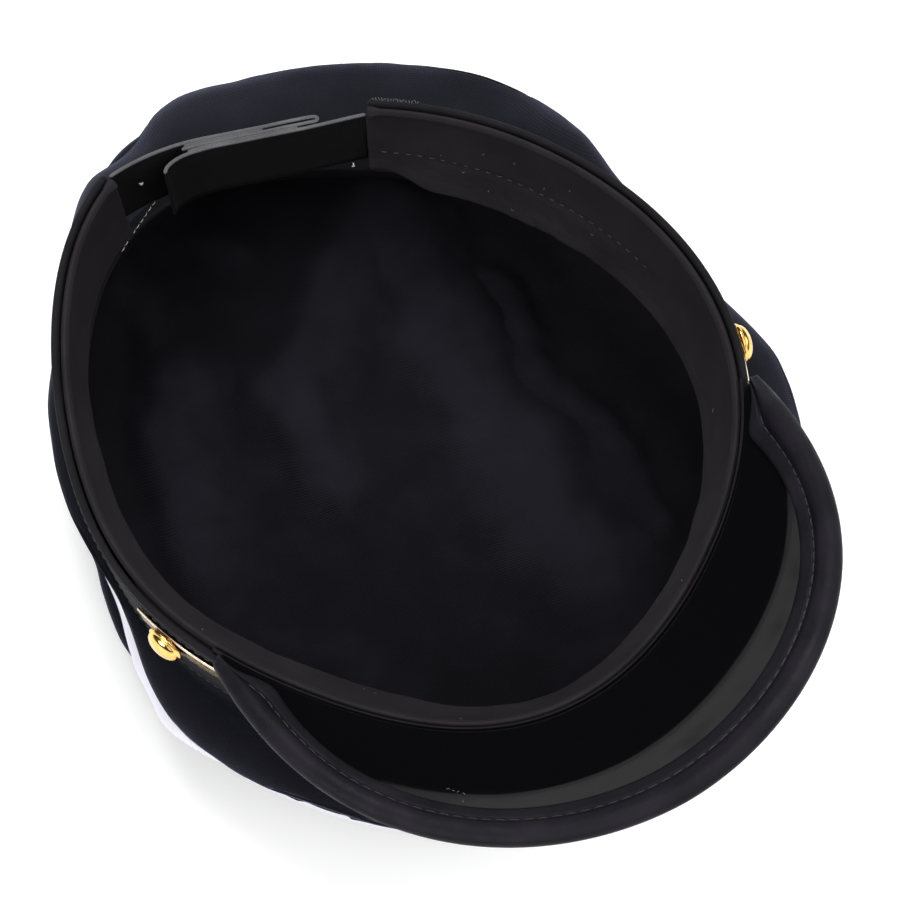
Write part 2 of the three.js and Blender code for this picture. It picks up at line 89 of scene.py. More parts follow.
class RoundTable:
    """A short table of values at angles round the cap, read as smooth closed curves."""

    def __init__(self, columns: tuple[str, ...], rows: tuple[tuple[float, ...], ...]) -> None:
        """Stores the rows.

        Args:
            columns: names of the columns after the first, which is the angle.
            rows: one row for each angle, in rising order.
        """
        self.at = np.array([row[0] for row in rows], float)
        places = enumerate(columns, 1)
        self.values = {name: np.array([row[i] for row in rows]) for i, name in places}

    def read(self, column: str, angles: Array) -> Array:
        """Values of one column.

        Args:
            column: the column's name.
            angles: angles in degrees.

        Returns:
            The smooth curve's value at each angle.
        """
        at, value, n = self.at, self.values[column], len(self.at)
        turned = at[0] + np.mod(np.asarray(angles, float) - at[0], 360.0)
        i = np.clip(np.searchsorted(at, turned, side="right") - 1, 0, n - 1)

        def angle_of(k: Array) -> Array:
            """Angle of a row, counted on past the last one."""
            return at[k % n] + 360.0 * (k // n)

        def value_of(k: Array) -> Array:
            """Value of a row, counted on past the last one."""
            return value[k % n]

        span = angle_of(i + 1) - angle_of(i)
        u = (turned - angle_of(i)) / span
        slope_in = (value_of(i + 1) - value_of(i - 1)) / (angle_of(i + 1) - angle_of(i - 1)) * span
        slope_out = (value_of(i + 2) - value_of(i)) / (angle_of(i + 2) - angle_of(i)) * span
        h = 2 * u**3 - 3 * u**2 + 1
        ends = h * value_of(i) + (1 - h) * value_of(i + 1)
        return ends + (u**3 - 2 * u**2 + u) * slope_in + (u**3 - u**2) * slope_out


@dataclass(frozen=True)
class Wave:
    """One soft departure of the rim from an oval."""

    turns: int
    out_cos: float
    out_sin: float
    lift_cos: float
    lift_sin: float


@dataclass(frozen=True)
class Rim:
    """The line round the head opening where the head band and the sweatband meet."""

    half_width: float = 88.0
    half_length: float = 98.5
    height: float = 76.0
    mean_radius: float = 93.0
    waves: tuple[Wave, ...] = (
        Wave(2, 0.0, 3.2, 0.0, 2.8),
        Wave(3, 0.0, -1.0, -1.4, -2.8),
        Wave(4, 0.7, 0.0, 0.0, 2.0),
        Wave(5, 0.9, -0.5, 0.8, 0.0),
    )

    def points(self, angles: Array) -> Array:
        """Points of the rim.

        Args:
            angles: angles in degrees, of any shape.

        Returns:
            Points in millimetres, with one more axis than the angles.
        """
        a = np.radians(np.asarray(angles, float))
        radius = np.full_like(a, self.mean_radius)
        lift = np.zeros_like(a)
        for w in self.waves:
            radius += w.out_cos * np.cos(w.turns * a) + w.out_sin * np.sin(w.turns * a)
            lift += w.lift_cos * np.cos(w.turns * a) + w.lift_sin * np.sin(w.turns * a)
        share = radius / self.mean_radius
        x = self.half_width * share * np.sin(a)
        y = -self.half_length * share * np.cos(a)
        return np.stack([x, y, self.height + lift], -1)

    def normals(self, angles: Array) -> Array:
        """Level directions that point straight out of the rim.

        Args:
            angles: angles in degrees.

        Returns:
            Unit vectors with no upward part.
        """
        step = 0.5
        along = self.points(np.asarray(angles) + step) - self.points(np.asarray(angles) - step)
        out = np.stack([along[..., 1], -along[..., 0], np.zeros_like(along[..., 0])], -1)
        return out / np.linalg.norm(out, axis=-1, keepdims=True)

    def beside(self, angles: Array, out: Array, up: Array) -> Array:
        """Points beside the rim.

        Args:
            angles: one angle for each station.
            out: how far out of the rim, with stations along its first axis.
            up: how far above the rim, shaped like out.

        Returns:
            Points in millimetres.
        """
        out, up = np.broadcast_arrays(np.asarray(out, float), np.asarray(up, float))
        extra = (1,) * (out.ndim - 1)
        base = self.points(angles).reshape(-1, *extra, 3)
        normal = self.normals(angles).reshape(-1, *extra, 3)
        points = base + normal * out[..., None]
        points[..., 2] += up
        return points

    def lift(self, angles: Array) -> Array:
        """How far the rim stands above its mean height at each angle."""
        return self.points(angles)[..., 2] - self.height

    def lengths(self, angles: Array) -> Array:
        """Distance along the rim from the first angle to each one."""
        return run_lengths(self.points(angles))


RIM = Rim()

CROWN_OUTLINE = RoundTable(
    ("roll", "seam", "belly", "edge"),
    (
        (-180, 35.0, 34.0, 33.0, 32.0),
        (-172, 33.2, 32.2, 31.2, 30.2),
        (-162, 28.0, 27.5, 26.8, 26.0),
        (-150, 17.5, 17.5, 17.4, 17.0),
        (-136, 10.0, 10.3, 10.2, 10.0),
        (-124, 9.9, 9.6, 9.2, 8.9),
        (-113, 8.4, 7.8, 7.2, 7.0),
        (-105, 6.8, 6.0, 5.5, 5.2),
        (-99, 4.9, 4.3, 3.9, 3.6),
        (-94, 3.6, 3.3, 3.4, 4.7),
        (-89, 3.1, 3.0, 4.2, 6.0),
        (-85, 4.4, 4.2, 6.3, 7.1),
        (-82, 5.9, 5.6, 8.3, 7.4),
        (-78.5, 8.3, 8.0, 10.9, 8.8),
        (-75, 10.7, 10.4, 13.0, 10.9),
        (-72, 12.8, 12.4, 15.4, 13.2),
        (-69, 14.6, 14.2, 16.8, 14.0),
        (-66, 15.8, 15.3, 16.9, 13.9),
        (-62, 16.7, 16.1, 16.5, 13.4),
        (-57, 17.5, 16.8, 15.8, 12.8),
        (-50, 18.4, 17.4, 15.2, 12.6),
        (-40, 19.1, 18.0, 15.4, 12.8),
        (-28, 19.4, 18.2, 16.0, 13.6),
        (0, 17.6, 17.0, 15.8, 14.4),
        (30, 18.2, 18.0, 17.2, 16.4),
        (60, 22.6, 22.8, 22.3, 21.6),
        (74, 23.0, 23.2, 22.8, 22.2),
        (86, 17.0, 17.3, 17.1, 16.8),
        (98, 14.0, 14.0, 13.8, 13.5),
        (110, 21.0, 20.5, 19.8, 19.0),
        (122, 29.5, 29.0, 28.0, 27.0),
        (136, 36.0, 35.0, 34.0, 33.0),
        (152, 35.8, 34.8, 34.0, 33.0),
        (168, 36.0, 35.0, 34.0, 33.0),
    ),
)


def smooth_rows(rows: Array, count: int) -> Array:
    """Evenly spread points on smooth curves through rows of control points.

    Args:
        rows: control points along the second to last axis.
        count: how many points to give.

    Returns:
        The curves' points, shaped like rows but with count points.
    """
    n = rows.shape[-2]
    t = np.linspace(0, n - 1, count)
    i = np.clip(t.astype(int), 0, n - 2)
    u = (t - i)[:, None]
    before = np.where(i > 0, i - 1, 0)
    after = np.where(i < n - 2, i + 2, n - 1)
    p0, p1 = rows[..., before, :], rows[..., i, :]
    p2, p3 = rows[..., i + 1, :], rows[..., after, :]
    return 0.5 * (
        2 * p1
        + (p2 - p0) * u
        + (2 * p0 - 5 * p1 + 4 * p2 - p3) * u**2
        + (3 * p1 - p0 - 3 * p2 + p3) * u**3
    )


def ripple(points: Array, size: float, seed: float) -> Array:
    """Soft noise at points.

    Args:
        points: places in millimetres.
        size: how wide a ripple is, in millimetres.
        seed: which pattern to read.

    Returns:
        Values of about -1 to 1, one for each point.
    """
    places = points.reshape(-1, 3) / size + seed * PATTERN_STEP
    values = [noise.noise(Vector(p)) for p in places]
    return np.array(values).reshape(points.shape[:-1])


def ripples(points: Array, rows: Ripples) -> Array:
    """Soft noises at points, added up.

    Args:
        points: places in millimetres.
        rows: the height, width and pattern of each noise.

    Returns:
        Values in millimetres, one for each point.
    """
    return sum(height * ripple(points, width, pattern) for height, width, pattern in rows)


def bump(distance: Array) -> Array:
    """A soft bump that is 1 at distance 0 and 0 from distance 1 on."""
    return np.clip(1 - np.asarray(distance) ** 2, 0, 1) ** 2


# ------------ Mesh making ------------


def mesh_object(
    name: str, points: Array, faces: list[list[int]], cut: Array | None = None
) -> Piece:
    """A smooth-shaded object from points and faces.

    Args:
        name: the piece's name.
        points: corners in millimetres.
        faces: lists of corner numbers.
        cut: one pair of cut-map coordinates for each corner of each face, in centimetres.

    Returns:
        The new object, at the origin.
    """
    mesh = bpy.data.meshes.new(name)
    mesh.from_pydata((points * MM).tolist(), [], faces)
    if cut is not None:
        layer = mesh.uv_layers.new(name="cut")
        layer.data.foreach_set("uv", np.asarray(cut, np.float32).ravel())
    mesh.shade_smooth()
    mesh.update()
    obj = bpy.data.objects.new(name, mesh)
    bpy.context.scene.collection.objects.link(obj)
    return obj


def signed_volume(points: Array, quads: Array) -> float:
    """Volume inside faces of four corners, negative where they face inwards."""
    a, b, c, d = (points[quads[:, k]] for k in range(4))
    halves = (a * np.cross(b, c)).sum() + (a * np.cross(c, d)).sum()
    return float(halves) / 6


def cut_lengths(along: Array, across: Array) -> Array:
    """Cut-map lengths at stations.

    Args:
        along: one distance along the cloth for each station.
        across: distances across it, shaped (stations, points) or (points,).

    Returns:
        Pairs of lengths, shaped (stations, points, 2).
    """
    return np.stack(np.broadcast_arrays(along[:, None], across), -1)


def ring_faces(rings: Array, cut: Array, spans: int, columns: int) -> tuple[Array, Array, bool]:
    """Faces of four corners between rings of points, all facing outwards.

    Args:
        rings: points shaped (stations, points round the section, 3).
        cut: cut-map lengths in millimetres, at each station and point.
        spans: how many stretches between stations have faces.
        columns: how many faces each stretch has.

    Returns:
        The faces, their corners' cut-map coordinates, and whether they had to be turned.
    """
    n, m = rings.shape[:2]
    i, j = np.arange(spans)[:, None], np.arange(columns)[None, :]
    after, beside = (i + 1) % n, (j + 1) % m
    quads = np.stack([i * m + j, after * m + j, after * m + beside, i * m + beside], -1)
    quads = quads.reshape(-1, 4)
    corners = [cut[i, j], cut[i + 1, j], cut[i + 1, beside], cut[i, beside]]
    cuts = np.stack(corners, 2).reshape(-1, 4, 2) * CUT_UNIT
    turned = signed_volume(rings.reshape(-1, 3), quads) < 0
    if turned:
        quads, cuts = quads[:, ::-1], cuts[:, ::-1]
    return quads, cuts.reshape(-1, 2), turned


def loft(name: str, rings: Array, cut: Array, closed: bool) -> Piece:
    """A body through rings of points.

    Args:
        name: the piece's name.
        rings: points shaped (stations, points round the section, 3).
        cut: lengths along and across the cloth in millimetres, shaped like rings; where the body
            is closed it has one station more, which says where the last stretch ends.
        closed: whether the last station joins the first.

    Returns:
        The new object.
    """
    n, m = rings.shape[:2]
    quads, cuts, turned = ring_faces(rings, cut, n if closed else n - 1, m)
    faces = quads.tolist()
    if not closed:
        first = list(range(m))
        last = [(n - 1) * m + k for k in range(m)]
        first, last = (first[::-1], last) if turned else (first, last[::-1])
        faces += [first, last]
        flat = cut.reshape(-1, 2) * CUT_UNIT
        cuts = np.concatenate([cuts, flat[first], flat[last]])
    return mesh_object(name, rings.reshape(-1, 3), faces, cuts)


def weld(obj: Piece, distance: float = 0.002) -> None:
    """Joins corners that lie within a distance in millimetres, such as those round a pole."""
    made = bmesh.new()
    made.from_mesh(obj.data)
    bmesh.ops.remove_doubles(made, verts=made.verts, dist=distance * MM)
    made.to_mesh(obj.data)
    made.free()
    obj.data.update()


def turned_body(name: str, rings: Array, cut: Array) -> Piece:
    """A turned body whose profile starts and ends on its axis.

    Args:
        name: the piece's name.
        rings: points shaped (turns, points of the profile, 3).
        cut: lengths round and along the profile, with one turn more than rings.

    Returns:
        The new object.
    """
    quads, cuts, _ = ring_faces(rings, cut, len(rings), rings.shape[1] - 1)
    made = mesh_object(name, rings.reshape(-1, 3), quads.tolist(), cuts)
    weld(made)
    return made


@dataclass
class Wall:
    """A cloth wall whose middle line is given at stations round the cap.

    Attributes:
        angles: the stations' angles.
        middle: (out, up) of the middle line, shaped (stations, rows, 2).
        thick: thickness everywhere, at each row, or at each station and row.
        closed: whether the wall runs all the way round.
        edge_turns: where the points that round each edge lie, in degrees.
    """

    angles: Array
    middle: Array
    thick: Array | float
    closed: bool = True
    edge_turns: tuple[float, ...] = (45.0, 90.0, 135.0)

    @property
    def rows(self) -> int:
        """How many rows of points each face has."""
        return self.middle.shape[1]

    def across(self) -> Array:
        """Distance across the cloth from its first row, at each station and row."""
        return run_lengths(self.middle)

    def outward(self) -> Array:
        """Unit (out, up) directions that leave the wall's outer face."""
        tangent = np.gradient(self.middle, axis=1)
        tangent /= np.maximum(np.linalg.norm(tangent, axis=2, keepdims=True), 1e-9)
        return np.stack([-tangent[..., 1], tangent[..., 0]], -1)

    def section(self) -> tuple[Array, Array]:
        """Outline of the wall with rounded edges.

        Returns:
            (out, up) points shaped (stations, points round the section, 2), and each point's
            distance across the cloth.
        """
        half = np.broadcast_to(self.thick, self.middle.shape[:2])[..., None] / 2
        out = self.outward()
        outer, inner = self.middle + out * half, self.middle - out * half
        across = self.across()
        forward = np.stack([out[..., 1], -out[..., 0]], -1)
        parts, lengths = [outer], [across]
        for k, way, turns in ((-1, 1, self.edge_turns), (0, -1, self.edge_turns[::-1])):
            if k == 0:
                parts.append(inner[:, ::-1])
                lengths.append(across[:, ::-1])
            for turn in turns:
                c, s = math.cos(math.radians(turn)), math.sin(math.radians(turn))
                edge = self.middle[:, k] + (out[:, k] * c + way * forward[:, k] * s) * half[:, k]
                parts.append(edge[:, None])
                lengths.append(across[:, k : k + 1] if k == 0 else across[:, -1:])
        return np.concatenate(parts, axis=1), np.concatenate(lengths, axis=1)

    def cut_map(self, lengths: Array) -> Array:
        """Lengths along and across the cloth for each point of the section."""
        angles = self.angles
        if self.closed:
            angles = np.append(angles, angles[0] + 360.0)
            lengths = np.concatenate([lengths, lengths[:1]])
        return cut_lengths(RIM.lengths(angles), lengths)

    def pushed(self, push: Array) -> Wall:
        """The wall with its outer face where its middle was, pushed out at each place."""
        out = self.outward()
        middle = self.middle + out * push[..., None] - out * self.thick / 2
        return Wall(self.angles, middle, self.thick, self.closed)

    def build(self, name: str) -> Piece:
        """Makes the wall as an object of that name."""
        section, lengths = self.section()
        rings = RIM.beside(self.angles, section[..., 0], section[..., 1])
        return loft(name, rings, self.cut_map(lengths), self.closed)

    def paint_shade_inside(self, obj: Piece, painted_shade_from: float, painted_shade_rows: int) -> None:
        """Marks the inner face of the built wall for its second material, a darker copy of its
        cloth: painted shade.

        Args:
            obj: the built wall.
            painted_shade_from: angle from the front beyond which that painted shade also covers the
                first edge.
            painted_shade_rows: how many rows of the outer face the painted shade covers there.
        """
        around = self.section()[0].shape[1]
        first = self.rows + len(self.edge_turns) - 1
        for polygon in obj.data.polygons:
            spots = [vertex % around for vertex in polygon.vertices]
            inside = all(first <= spot <= first + self.rows for spot in spots)
            # Behind the head, the first rows of the outer face are painted darker too: painted
            # shade.
            at_back = abs(self.angles[polygon.vertices[0] // around]) > painted_shade_from
            turned = at_back and (max(spots) <= painted_shade_rows or min(spots) > first)
            polygon.material_index = 1 if inside or turned else 0


def hanging_wall(
    name: str, angles: Array, out: Array | float, drop: Array, thick: Array | float
) -> Piece:
    """A wall that is open at its ends, from its places below the rim.

    Args:
        name: the piece's name.
        angles: the stations' angles.
        out: how far out of the rim its middle line lies, at each station and row.
        drop: how far below the rim, at each station and row or at each row.
        thick: thickness, given in any of these ways.

    Returns:
        The new object.
    """
    _, out, drop, thick = np.broadcast_arrays(angles[:, None], out, drop, thick)
    return Wall(angles, np.stack([out, -drop], -1), thick, False).build(name)


def round_angles(count: int) -> Array:
    """Evenly spread angles all the way round."""
    return np.linspace(-180.0, 180.0, count, endpoint=False)


def open_angles(reach: float, count: int) -> Array:
    """Angles from -reach to reach, closer together at both ends, where the edges are rounded."""
    near = np.array([0.0, 0.06, 0.18, 0.36, 0.6, 1.0])
    margin = 1.6
    middle = np.linspace(-reach + margin, reach - margin, count - 2 * len(near))
    return np.concatenate([-reach + near, middle, reach - near[::-1]])


def end_rounding(angles: Array, thickness: float) -> Array:
    """Share of the full thickness at each station, so that a wall's ends are rounded.

    Args:
        angles: the stations' angles, from one end to the other.
        thickness: the wall's full thickness.

    Returns:
        One share for each station, from a small value at the ends to 1.
    """
    least = 0.02
    lengths = RIM.lengths(angles)
    from_end = np.minimum(lengths, lengths[-1] - lengths)
    inside = np.clip(from_end / (thickness / 2), 0, 1)
    return np.sqrt(np.clip(1 - (1 - inside) ** 2, least, 1))


@dataclass(frozen=True)
class Thread:
    """Sizes of one sewing stitch.

    Attributes:
        radius: half the thread's thickness.
        length: how much of the stitch shows.
        rise: how far its middle stands off the cloth.
        gap: cloth between two stitches.
        sides: how many sides the thread's section has.
    """

    radius: float
    length: float
    rise: float
    gap: float = 1.0
    sides: int = 5


def stitches(name: str, starts: Array, ends: Array, normals: Array, thread: Thread) -> Piece:
    """Rows of stitches as one object.

    Args:
        name: the piece's name.
        starts: where each stitch comes out of the cloth, in millimetres.
        ends: where it goes back in.
        normals: the cloth's outward direction at each stitch.
        thread: the stitches' thickness and rise.

    Returns:
        The new object.
    """
    steps = np.array([-0.5, -0.38, -0.15, 0.15, 0.38, 0.5])
    heights = np.array([-1.2, 0.45, 1.0, 1.0, 0.45, -1.2]) * thread.rise
    radii = np.array([0.75, 1.0, 1.0, 1.0, 1.0, 0.75]) * thread.radius
    turns = np.radians(np.linspace(0, 360, thread.sides, endpoint=False))
    along = ends - starts
    middle = (starts + ends) / 2
    side = np.cross(along, normals)
    side /= np.linalg.norm(side, axis=1, keepdims=True)
    up = np.cross(side, along)
    up /= np.linalg.norm(up, axis=1, keepdims=True)
    ring = np.cos(turns)[:, None, None] * side[None] + np.sin(turns)[:, None, None] * up[None]
    centres = middle[:, None] + along[:, None] * steps[None, :, None]
    centres = centres + up[:, None] * heights[None, :, None]
    tubes = centres[:, :, None] + np.moveaxis(ring, 0, 1)[:, None] * radii[None, :, None, None]
    count, rows, sides = tubes.shape[:3]
    here, k = np.arange(rows - 1)[:, None] * sides, np.arange(sides)
    after, n = here + sides, (k + 1) % sides
    tube = np.stack([here + k, here + n, after + n, after + k], -1).reshape(-1, 4).tolist()
    tube += [list(range(sides))[::-1], list(range((rows - 1) * sides, rows * sides))]
    bases = range(0, count * rows * sides, rows * sides)
    faces = [[base + corner for corner in face] for base in bases for face in tube]
    return mesh_object(name, tubes.reshape(-1, 3), faces)


def stitch_row(path: Array, normals: Array, thread: Thread) -> tuple[Array, Array, Array]:
    """Evenly spaced stitches along a line.

    Args:
        path: points of the line, close together.
        normals: the cloth's outward direction at each point.
        thread: the stitch's sizes.

    Returns:
        Starts, ends and normals, one for each stitch.
    """
    run = run_lengths(path)
    count = max(int(run[-1] / (thread.length + thread.gap)), 1)
    begin = (np.arange(count) + 0.5) * run[-1] / count - thread.length / 2

    def read(values: Array, where: Array) -> Array:
        """Values at some distances along the line."""
        return np.stack([np.interp(where, run, values[:, k]) for k in range(3)], -1)

    starts, ends = read(path, begin), read(path, begin + thread.length)
    return starts, ends, read(normals, begin + thread.length / 2)


def stitched_rows(name: str, rows: list[tuple[Array, Array, Array]], thread: Thread) -> Piece:
    """Several rows of stitches as one object.

    Args:
        name: the piece's name.
        rows: starts, ends and normals of each row.
        thread: the stitch's sizes.

    Returns:
        The new object.
    """
    starts, ends, normals = (np.concatenate(part) for part in zip(*rows))
    return stitches(name, starts, ends, normals, thread)


# ------------ Finishes ------------


class Mix:
    """A material being mixed: its node tree and main shader."""

    def __init__(self, name: str) -> None:
        """Starts an empty mix with that material name."""
        self.material = bpy.data.materials.new(name)
        self.material.use_nodes = True
        self.tree = self.material.node_tree
        self.shader = self.tree.nodes["Principled BSDF"]
        self.spot = self.node("TexCoord").outputs["Object"]

    def node(self, kind: str, options: dict | None = None, **sockets: object) -> bpy.types.Node:
        """Adds a node.

        Args:
            kind: the node's type, without the leading "ShaderNode".
            options: properties to set on the node.
            sockets: values or outputs for its inputs; an underscore stands for a space.

        Returns:
            The new node.
        """
        made = self.tree.nodes.new("ShaderNode" + kind)
        for key, value in (options or {}).items():
            setattr(made, key, value)
        for key, value in sockets.items():
            self.feed(made.inputs[key.replace("_", " ")], value)
        return made

    def feed(self, socket: Socket, value: object) -> None:
        """Sets a socket's value, or links an output to it."""
        if isinstance(value, Socket):
            self.tree.links.new(value, socket)
        else:
            socket.default_value = value

    def shade(self, **sockets: object) -> None:
        """Sets or links the main shader's sockets; an underscore stands for a space."""
        for key, value in sockets.items():
            self.feed(self.shader.inputs[key.replace("_", " ")], value)

    def maths(self, operation: str, first: object, second: object = 0.0) -> Socket:
        """Output of a Math node on two values or outputs."""
        made = self.tree.nodes.new("ShaderNodeMath")
        made.operation = operation
        self.feed(made.inputs[0], first)
        self.feed(made.inputs[1], second)
        return made.outputs[0]

    def weigh(self, *parts: tuple[object, float]) -> Socket:
        """Sum of values or outputs, each with its weight."""
        total, *others = (self.maths("MULTIPLY", value, weight) for value, weight in parts)
        for other in others:
            total = self.maths("ADD", total, other)
        return total

    def noise(self, where: Socket, scale: float, detail: float) -> Socket:
        """Output of a Noise Texture read at some coordinates."""
        return self.node("TexNoise", Vector=where, Scale=scale, Detail=detail).outputs["Fac"]

    def grain(self, width: float, detail: float) -> Socket:
        """Noise over the piece, with features of a width in millimetres."""
        return self.noise(self.spot, 1.0 / (width * MM), detail)

    def blend(self, share: object, first: Colour, second: Colour) -> Socket:
        """A colour between two, by a share from 0 to 1."""
        made = self.node("Mix", {"data_type": "RGBA"})
        self.feed(made.inputs["Factor"], share)
        start, end = (socket for socket in made.inputs if socket.type == "RGBA")
        start.default_value = (*first, 1.0)
        end.default_value = (*second, 1.0)
        return next(socket for socket in made.outputs if socket.type == "RGBA")

    def level(
        self, value: object, low: float, high: float, to: tuple[float, float] = (0.0, 1.0)
    ) -> Socket:
        """A value moved from one range to another and kept inside it."""
        ends = {"From_Min": low, "From_Max": high, "To_Min": to[0], "To_Max": to[1]}
        return self.node("MapRange", Value=value, **ends).outputs["Result"]

    def raise_by(self, heights: list[tuple[object, float]]) -> Socket:
        """Normal of a surface raised by several heights, each with its size in metres."""
        normal = None
        for height, size in heights:
            made = self.node("Bump", Height=height, Distance=size, Strength=1.0)
            if normal is not None:
                self.feed(made.inputs["Normal"], normal)
            normal = made.outputs["Normal"]
        return normal


class Weave(Enum):
    """How a cloth's threads cross."""

    PLAIN = "plain"
    TWILL = "twill"


@dataclass(frozen=True)
class ClothFinish:
    """Woven cloth."""

    name: str
    colour: Colour
    light: Colour
    weave: Weave = Weave.PLAIN
    pitch: float = 0.55
    depth: float = 0.05
    fuzz: float = 0.03
    roughness: float = 0.85
    sheen: float = 0.3
    sheen_tint: Colour = (1.0, 1.0, 1.0)
    # whether raised places are painted lighter and hollows darker from the top's second map:
    # painted shade
    paints_ridge_shade: bool = False
    mottle: float = 14.0
    fibre: float = 0.45
    wobble: float = 0.6
    diagonal_share: float = 0.35
    thread_share: float = 0.22
    mottle_share: float = 0.7
    fibre_share: float = 0.5
    # middle and weight of that painted shade
    ridge_shade_middle: float = 0.45
    ridge_shade_share: float = 0.42
    darkest: float = 0.35
    rough_swing: float = 0.08
    sheen_roughness: float = 0.45
    shine: float = 0.12

    def material(self) -> bpy.types.Material:
        """Mixes the cloth: crossing threads, loose fibres, soft random changes of tone, and, where
        asked, painted shade that makes raised places lighter and hollows darker.
        """
        mix = Mix(self.name)
        cut = mix.node("UVMap", {"uv_map": "cut"}).outputs["UV"]
        split = mix.node("SeparateXYZ", Vector=cut)
        turns = math.tau / (self.pitch * CUT_UNIT)
        along, across = split.outputs["X"], split.outputs["Y"]
        wobble = mix.maths("MULTIPLY", mix.noise(cut, 9.0, 2.0), self.wobble)
        along = mix.maths("ADD", mix.maths("MULTIPLY", along, turns), wobble)
        across = mix.maths("ADD", mix.maths("MULTIPLY", across, turns), wobble)
        if self.weave is Weave.TWILL:
            diagonal = mix.maths("ADD", along, across)
            fine = mix.maths("MULTIPLY", mix.maths("SINE", across), self.diagonal_share)
            thread = mix.maths("ADD", mix.maths("SINE", diagonal), fine)
        else:
            thread = mix.maths("MULTIPLY", mix.maths("SINE", along), mix.maths("SINE", across))
        fibre = mix.grain(self.fibre, 3.0)
        patch = mix.grain(self.mottle, 4.0)
        parts = [(thread, self.thread_share), (patch, self.mottle_share), (fibre, self.fibre_share)]
        # Painted shade: the second map's height makes raised folds lighter and the hollows between
        # them darker.
        if self.paints_ridge_shade:
            rub = mix.node("UVMap", {"uv_map": "rub"}).outputs["UV"]
            raised = mix.node("SeparateXYZ", Vector=rub).outputs["X"]
            parts.append((mix.maths("SUBTRACT", raised, self.ridge_shade_middle), self.ridge_shade_share))
        shade = mix.level(mix.weigh(*parts), self.darkest, 1.0)
        rough = (self.roughness - self.rough_swing, min(self.roughness + self.rough_swing, 1.0))
        mix.shade(
            Base_Color=mix.blend(shade, self.colour, self.light),
            Roughness=mix.level(fibre, 0.3, 0.7, rough),
            Normal=mix.raise_by([(fibre, self.fuzz * MM), (thread, self.depth * MM)]),
            Sheen_Weight=self.sheen,
            Sheen_Roughness=self.sheen_roughness,
            Sheen_Tint=(*self.sheen_tint, 1.0),
            Specular_IOR_Level=self.shine,
        )
        return mix.material


@dataclass(frozen=True)
class LeatheretteFinish:
    """Fine-grained coated cloth, with a soft shine."""

    name: str
    colour: Colour = (0.0072, 0.0066, 0.0096)
    worn: Colour = (0.0145, 0.0132, 0.0182)
    grain: float = 0.7
    roughness: float = 0.5
    shine: float = 0.1
    warp: float = 0.4
    crease_height: float = 0.12
    pebble_height: float = 0.05

    def material(self) -> bpy.types.Material:
        """Mixes the leatherette: pebbled grain, faint creases and duller worn places."""
        mix = Mix(self.name)
        warp = mix.maths("MULTIPLY", mix.grain(2.5, 2.0), self.warp * MM)
        place = mix.node("VectorMath", {"operation": "ADD"})
        mix.feed(place.inputs[0], mix.spot)
        mix.feed(place.inputs[1], mix.node("CombineXYZ", X=warp).outputs[0])
        pebbles = mix.node("TexVoronoi", Vector=place.outputs[0], Scale=1.0 / (self.grain * MM))
        pebble = mix.maths("SUBTRACT", 1.0, pebbles.outputs["Distance"])
        crease = mix.grain(6.0, 5.0)
        rub = mix.grain(18.0, 3.0)
        heights = [(crease, self.crease_height * MM), (pebble, self.pebble_height * MM)]
        mix.shade(
            Base_Color=mix.blend(mix.level(rub, 0.35, 0.7), self.colour, self.worn),
            Roughness=mix.level(crease, 0.3, 0.7, (self.roughness - 0.07, self.roughness + 0.12)),
            Normal=mix.raise_by(heights),
            Specular_IOR_Level=self.shine,
        )
        return mix.material


@dataclass(frozen=True)
class GlossFinish:
    """Polished plastic sheet."""

    name: str
    colour: Colour = (0.0025, 0.0024, 0.003)
    dust: Colour = (0.03, 0.03, 0.03)
    roughness: float = 0.05
    rubbed_by: float = 0.06
    shine: float = 0.13
    swell: float = 0.07

    def material(self) -> bpy.types.Material:
        """Mixes the plastic: a mirror gloss with rub marks, dust and slight unevenness."""
        mix = Mix(self.name)
        rub = mix.grain(9.0, 6.0)
        speck = mix.level(mix.grain(0.35, 2.0), 0.72, 0.8)
        mix.shade(
            Base_Color=mix.blend(speck, self.colour, self.dust),
            Roughness=mix.level(rub, 0.4, 0.8, (self.roughness, self.roughness + self.rubbed_by)),
            Normal=mix.raise_by([(mix.grain(26.0, 1.0), self.swell * MM)]),
            Specular_IOR_Level=self.shine,
        )
        return mix.material


@dataclass(frozen=True)
class MetalFinish:
    """Plated metal."""

    name: str
    colour: Colour = (0.93, 0.6, 0.2)
    deep: Colour = (0.7, 0.38, 0.09)
    roughness: float = 0.12
    dulled_by: float = 0.14
    scratch: float = 0.012

    def material(self) -> bpy.types.Material:
        """Mixes the metal: a bright plate with duller fingered patches."""
        mix = Mix(self.name)
        cloud = mix.grain(3.0, 4.0)
        mix.shade(
            Base_Color=mix.blend(mix.level(cloud, 0.4, 0.75), self.colour, self.deep),
            Roughness=mix.level(cloud, 0.3, 0.7, (self.roughness, self.roughness + self.dulled_by)),
            Normal=mix.raise_by([(mix.grain(0.5, 2.0), self.scratch * MM)]),
            Metallic=1.0,
        )
        return mix.material


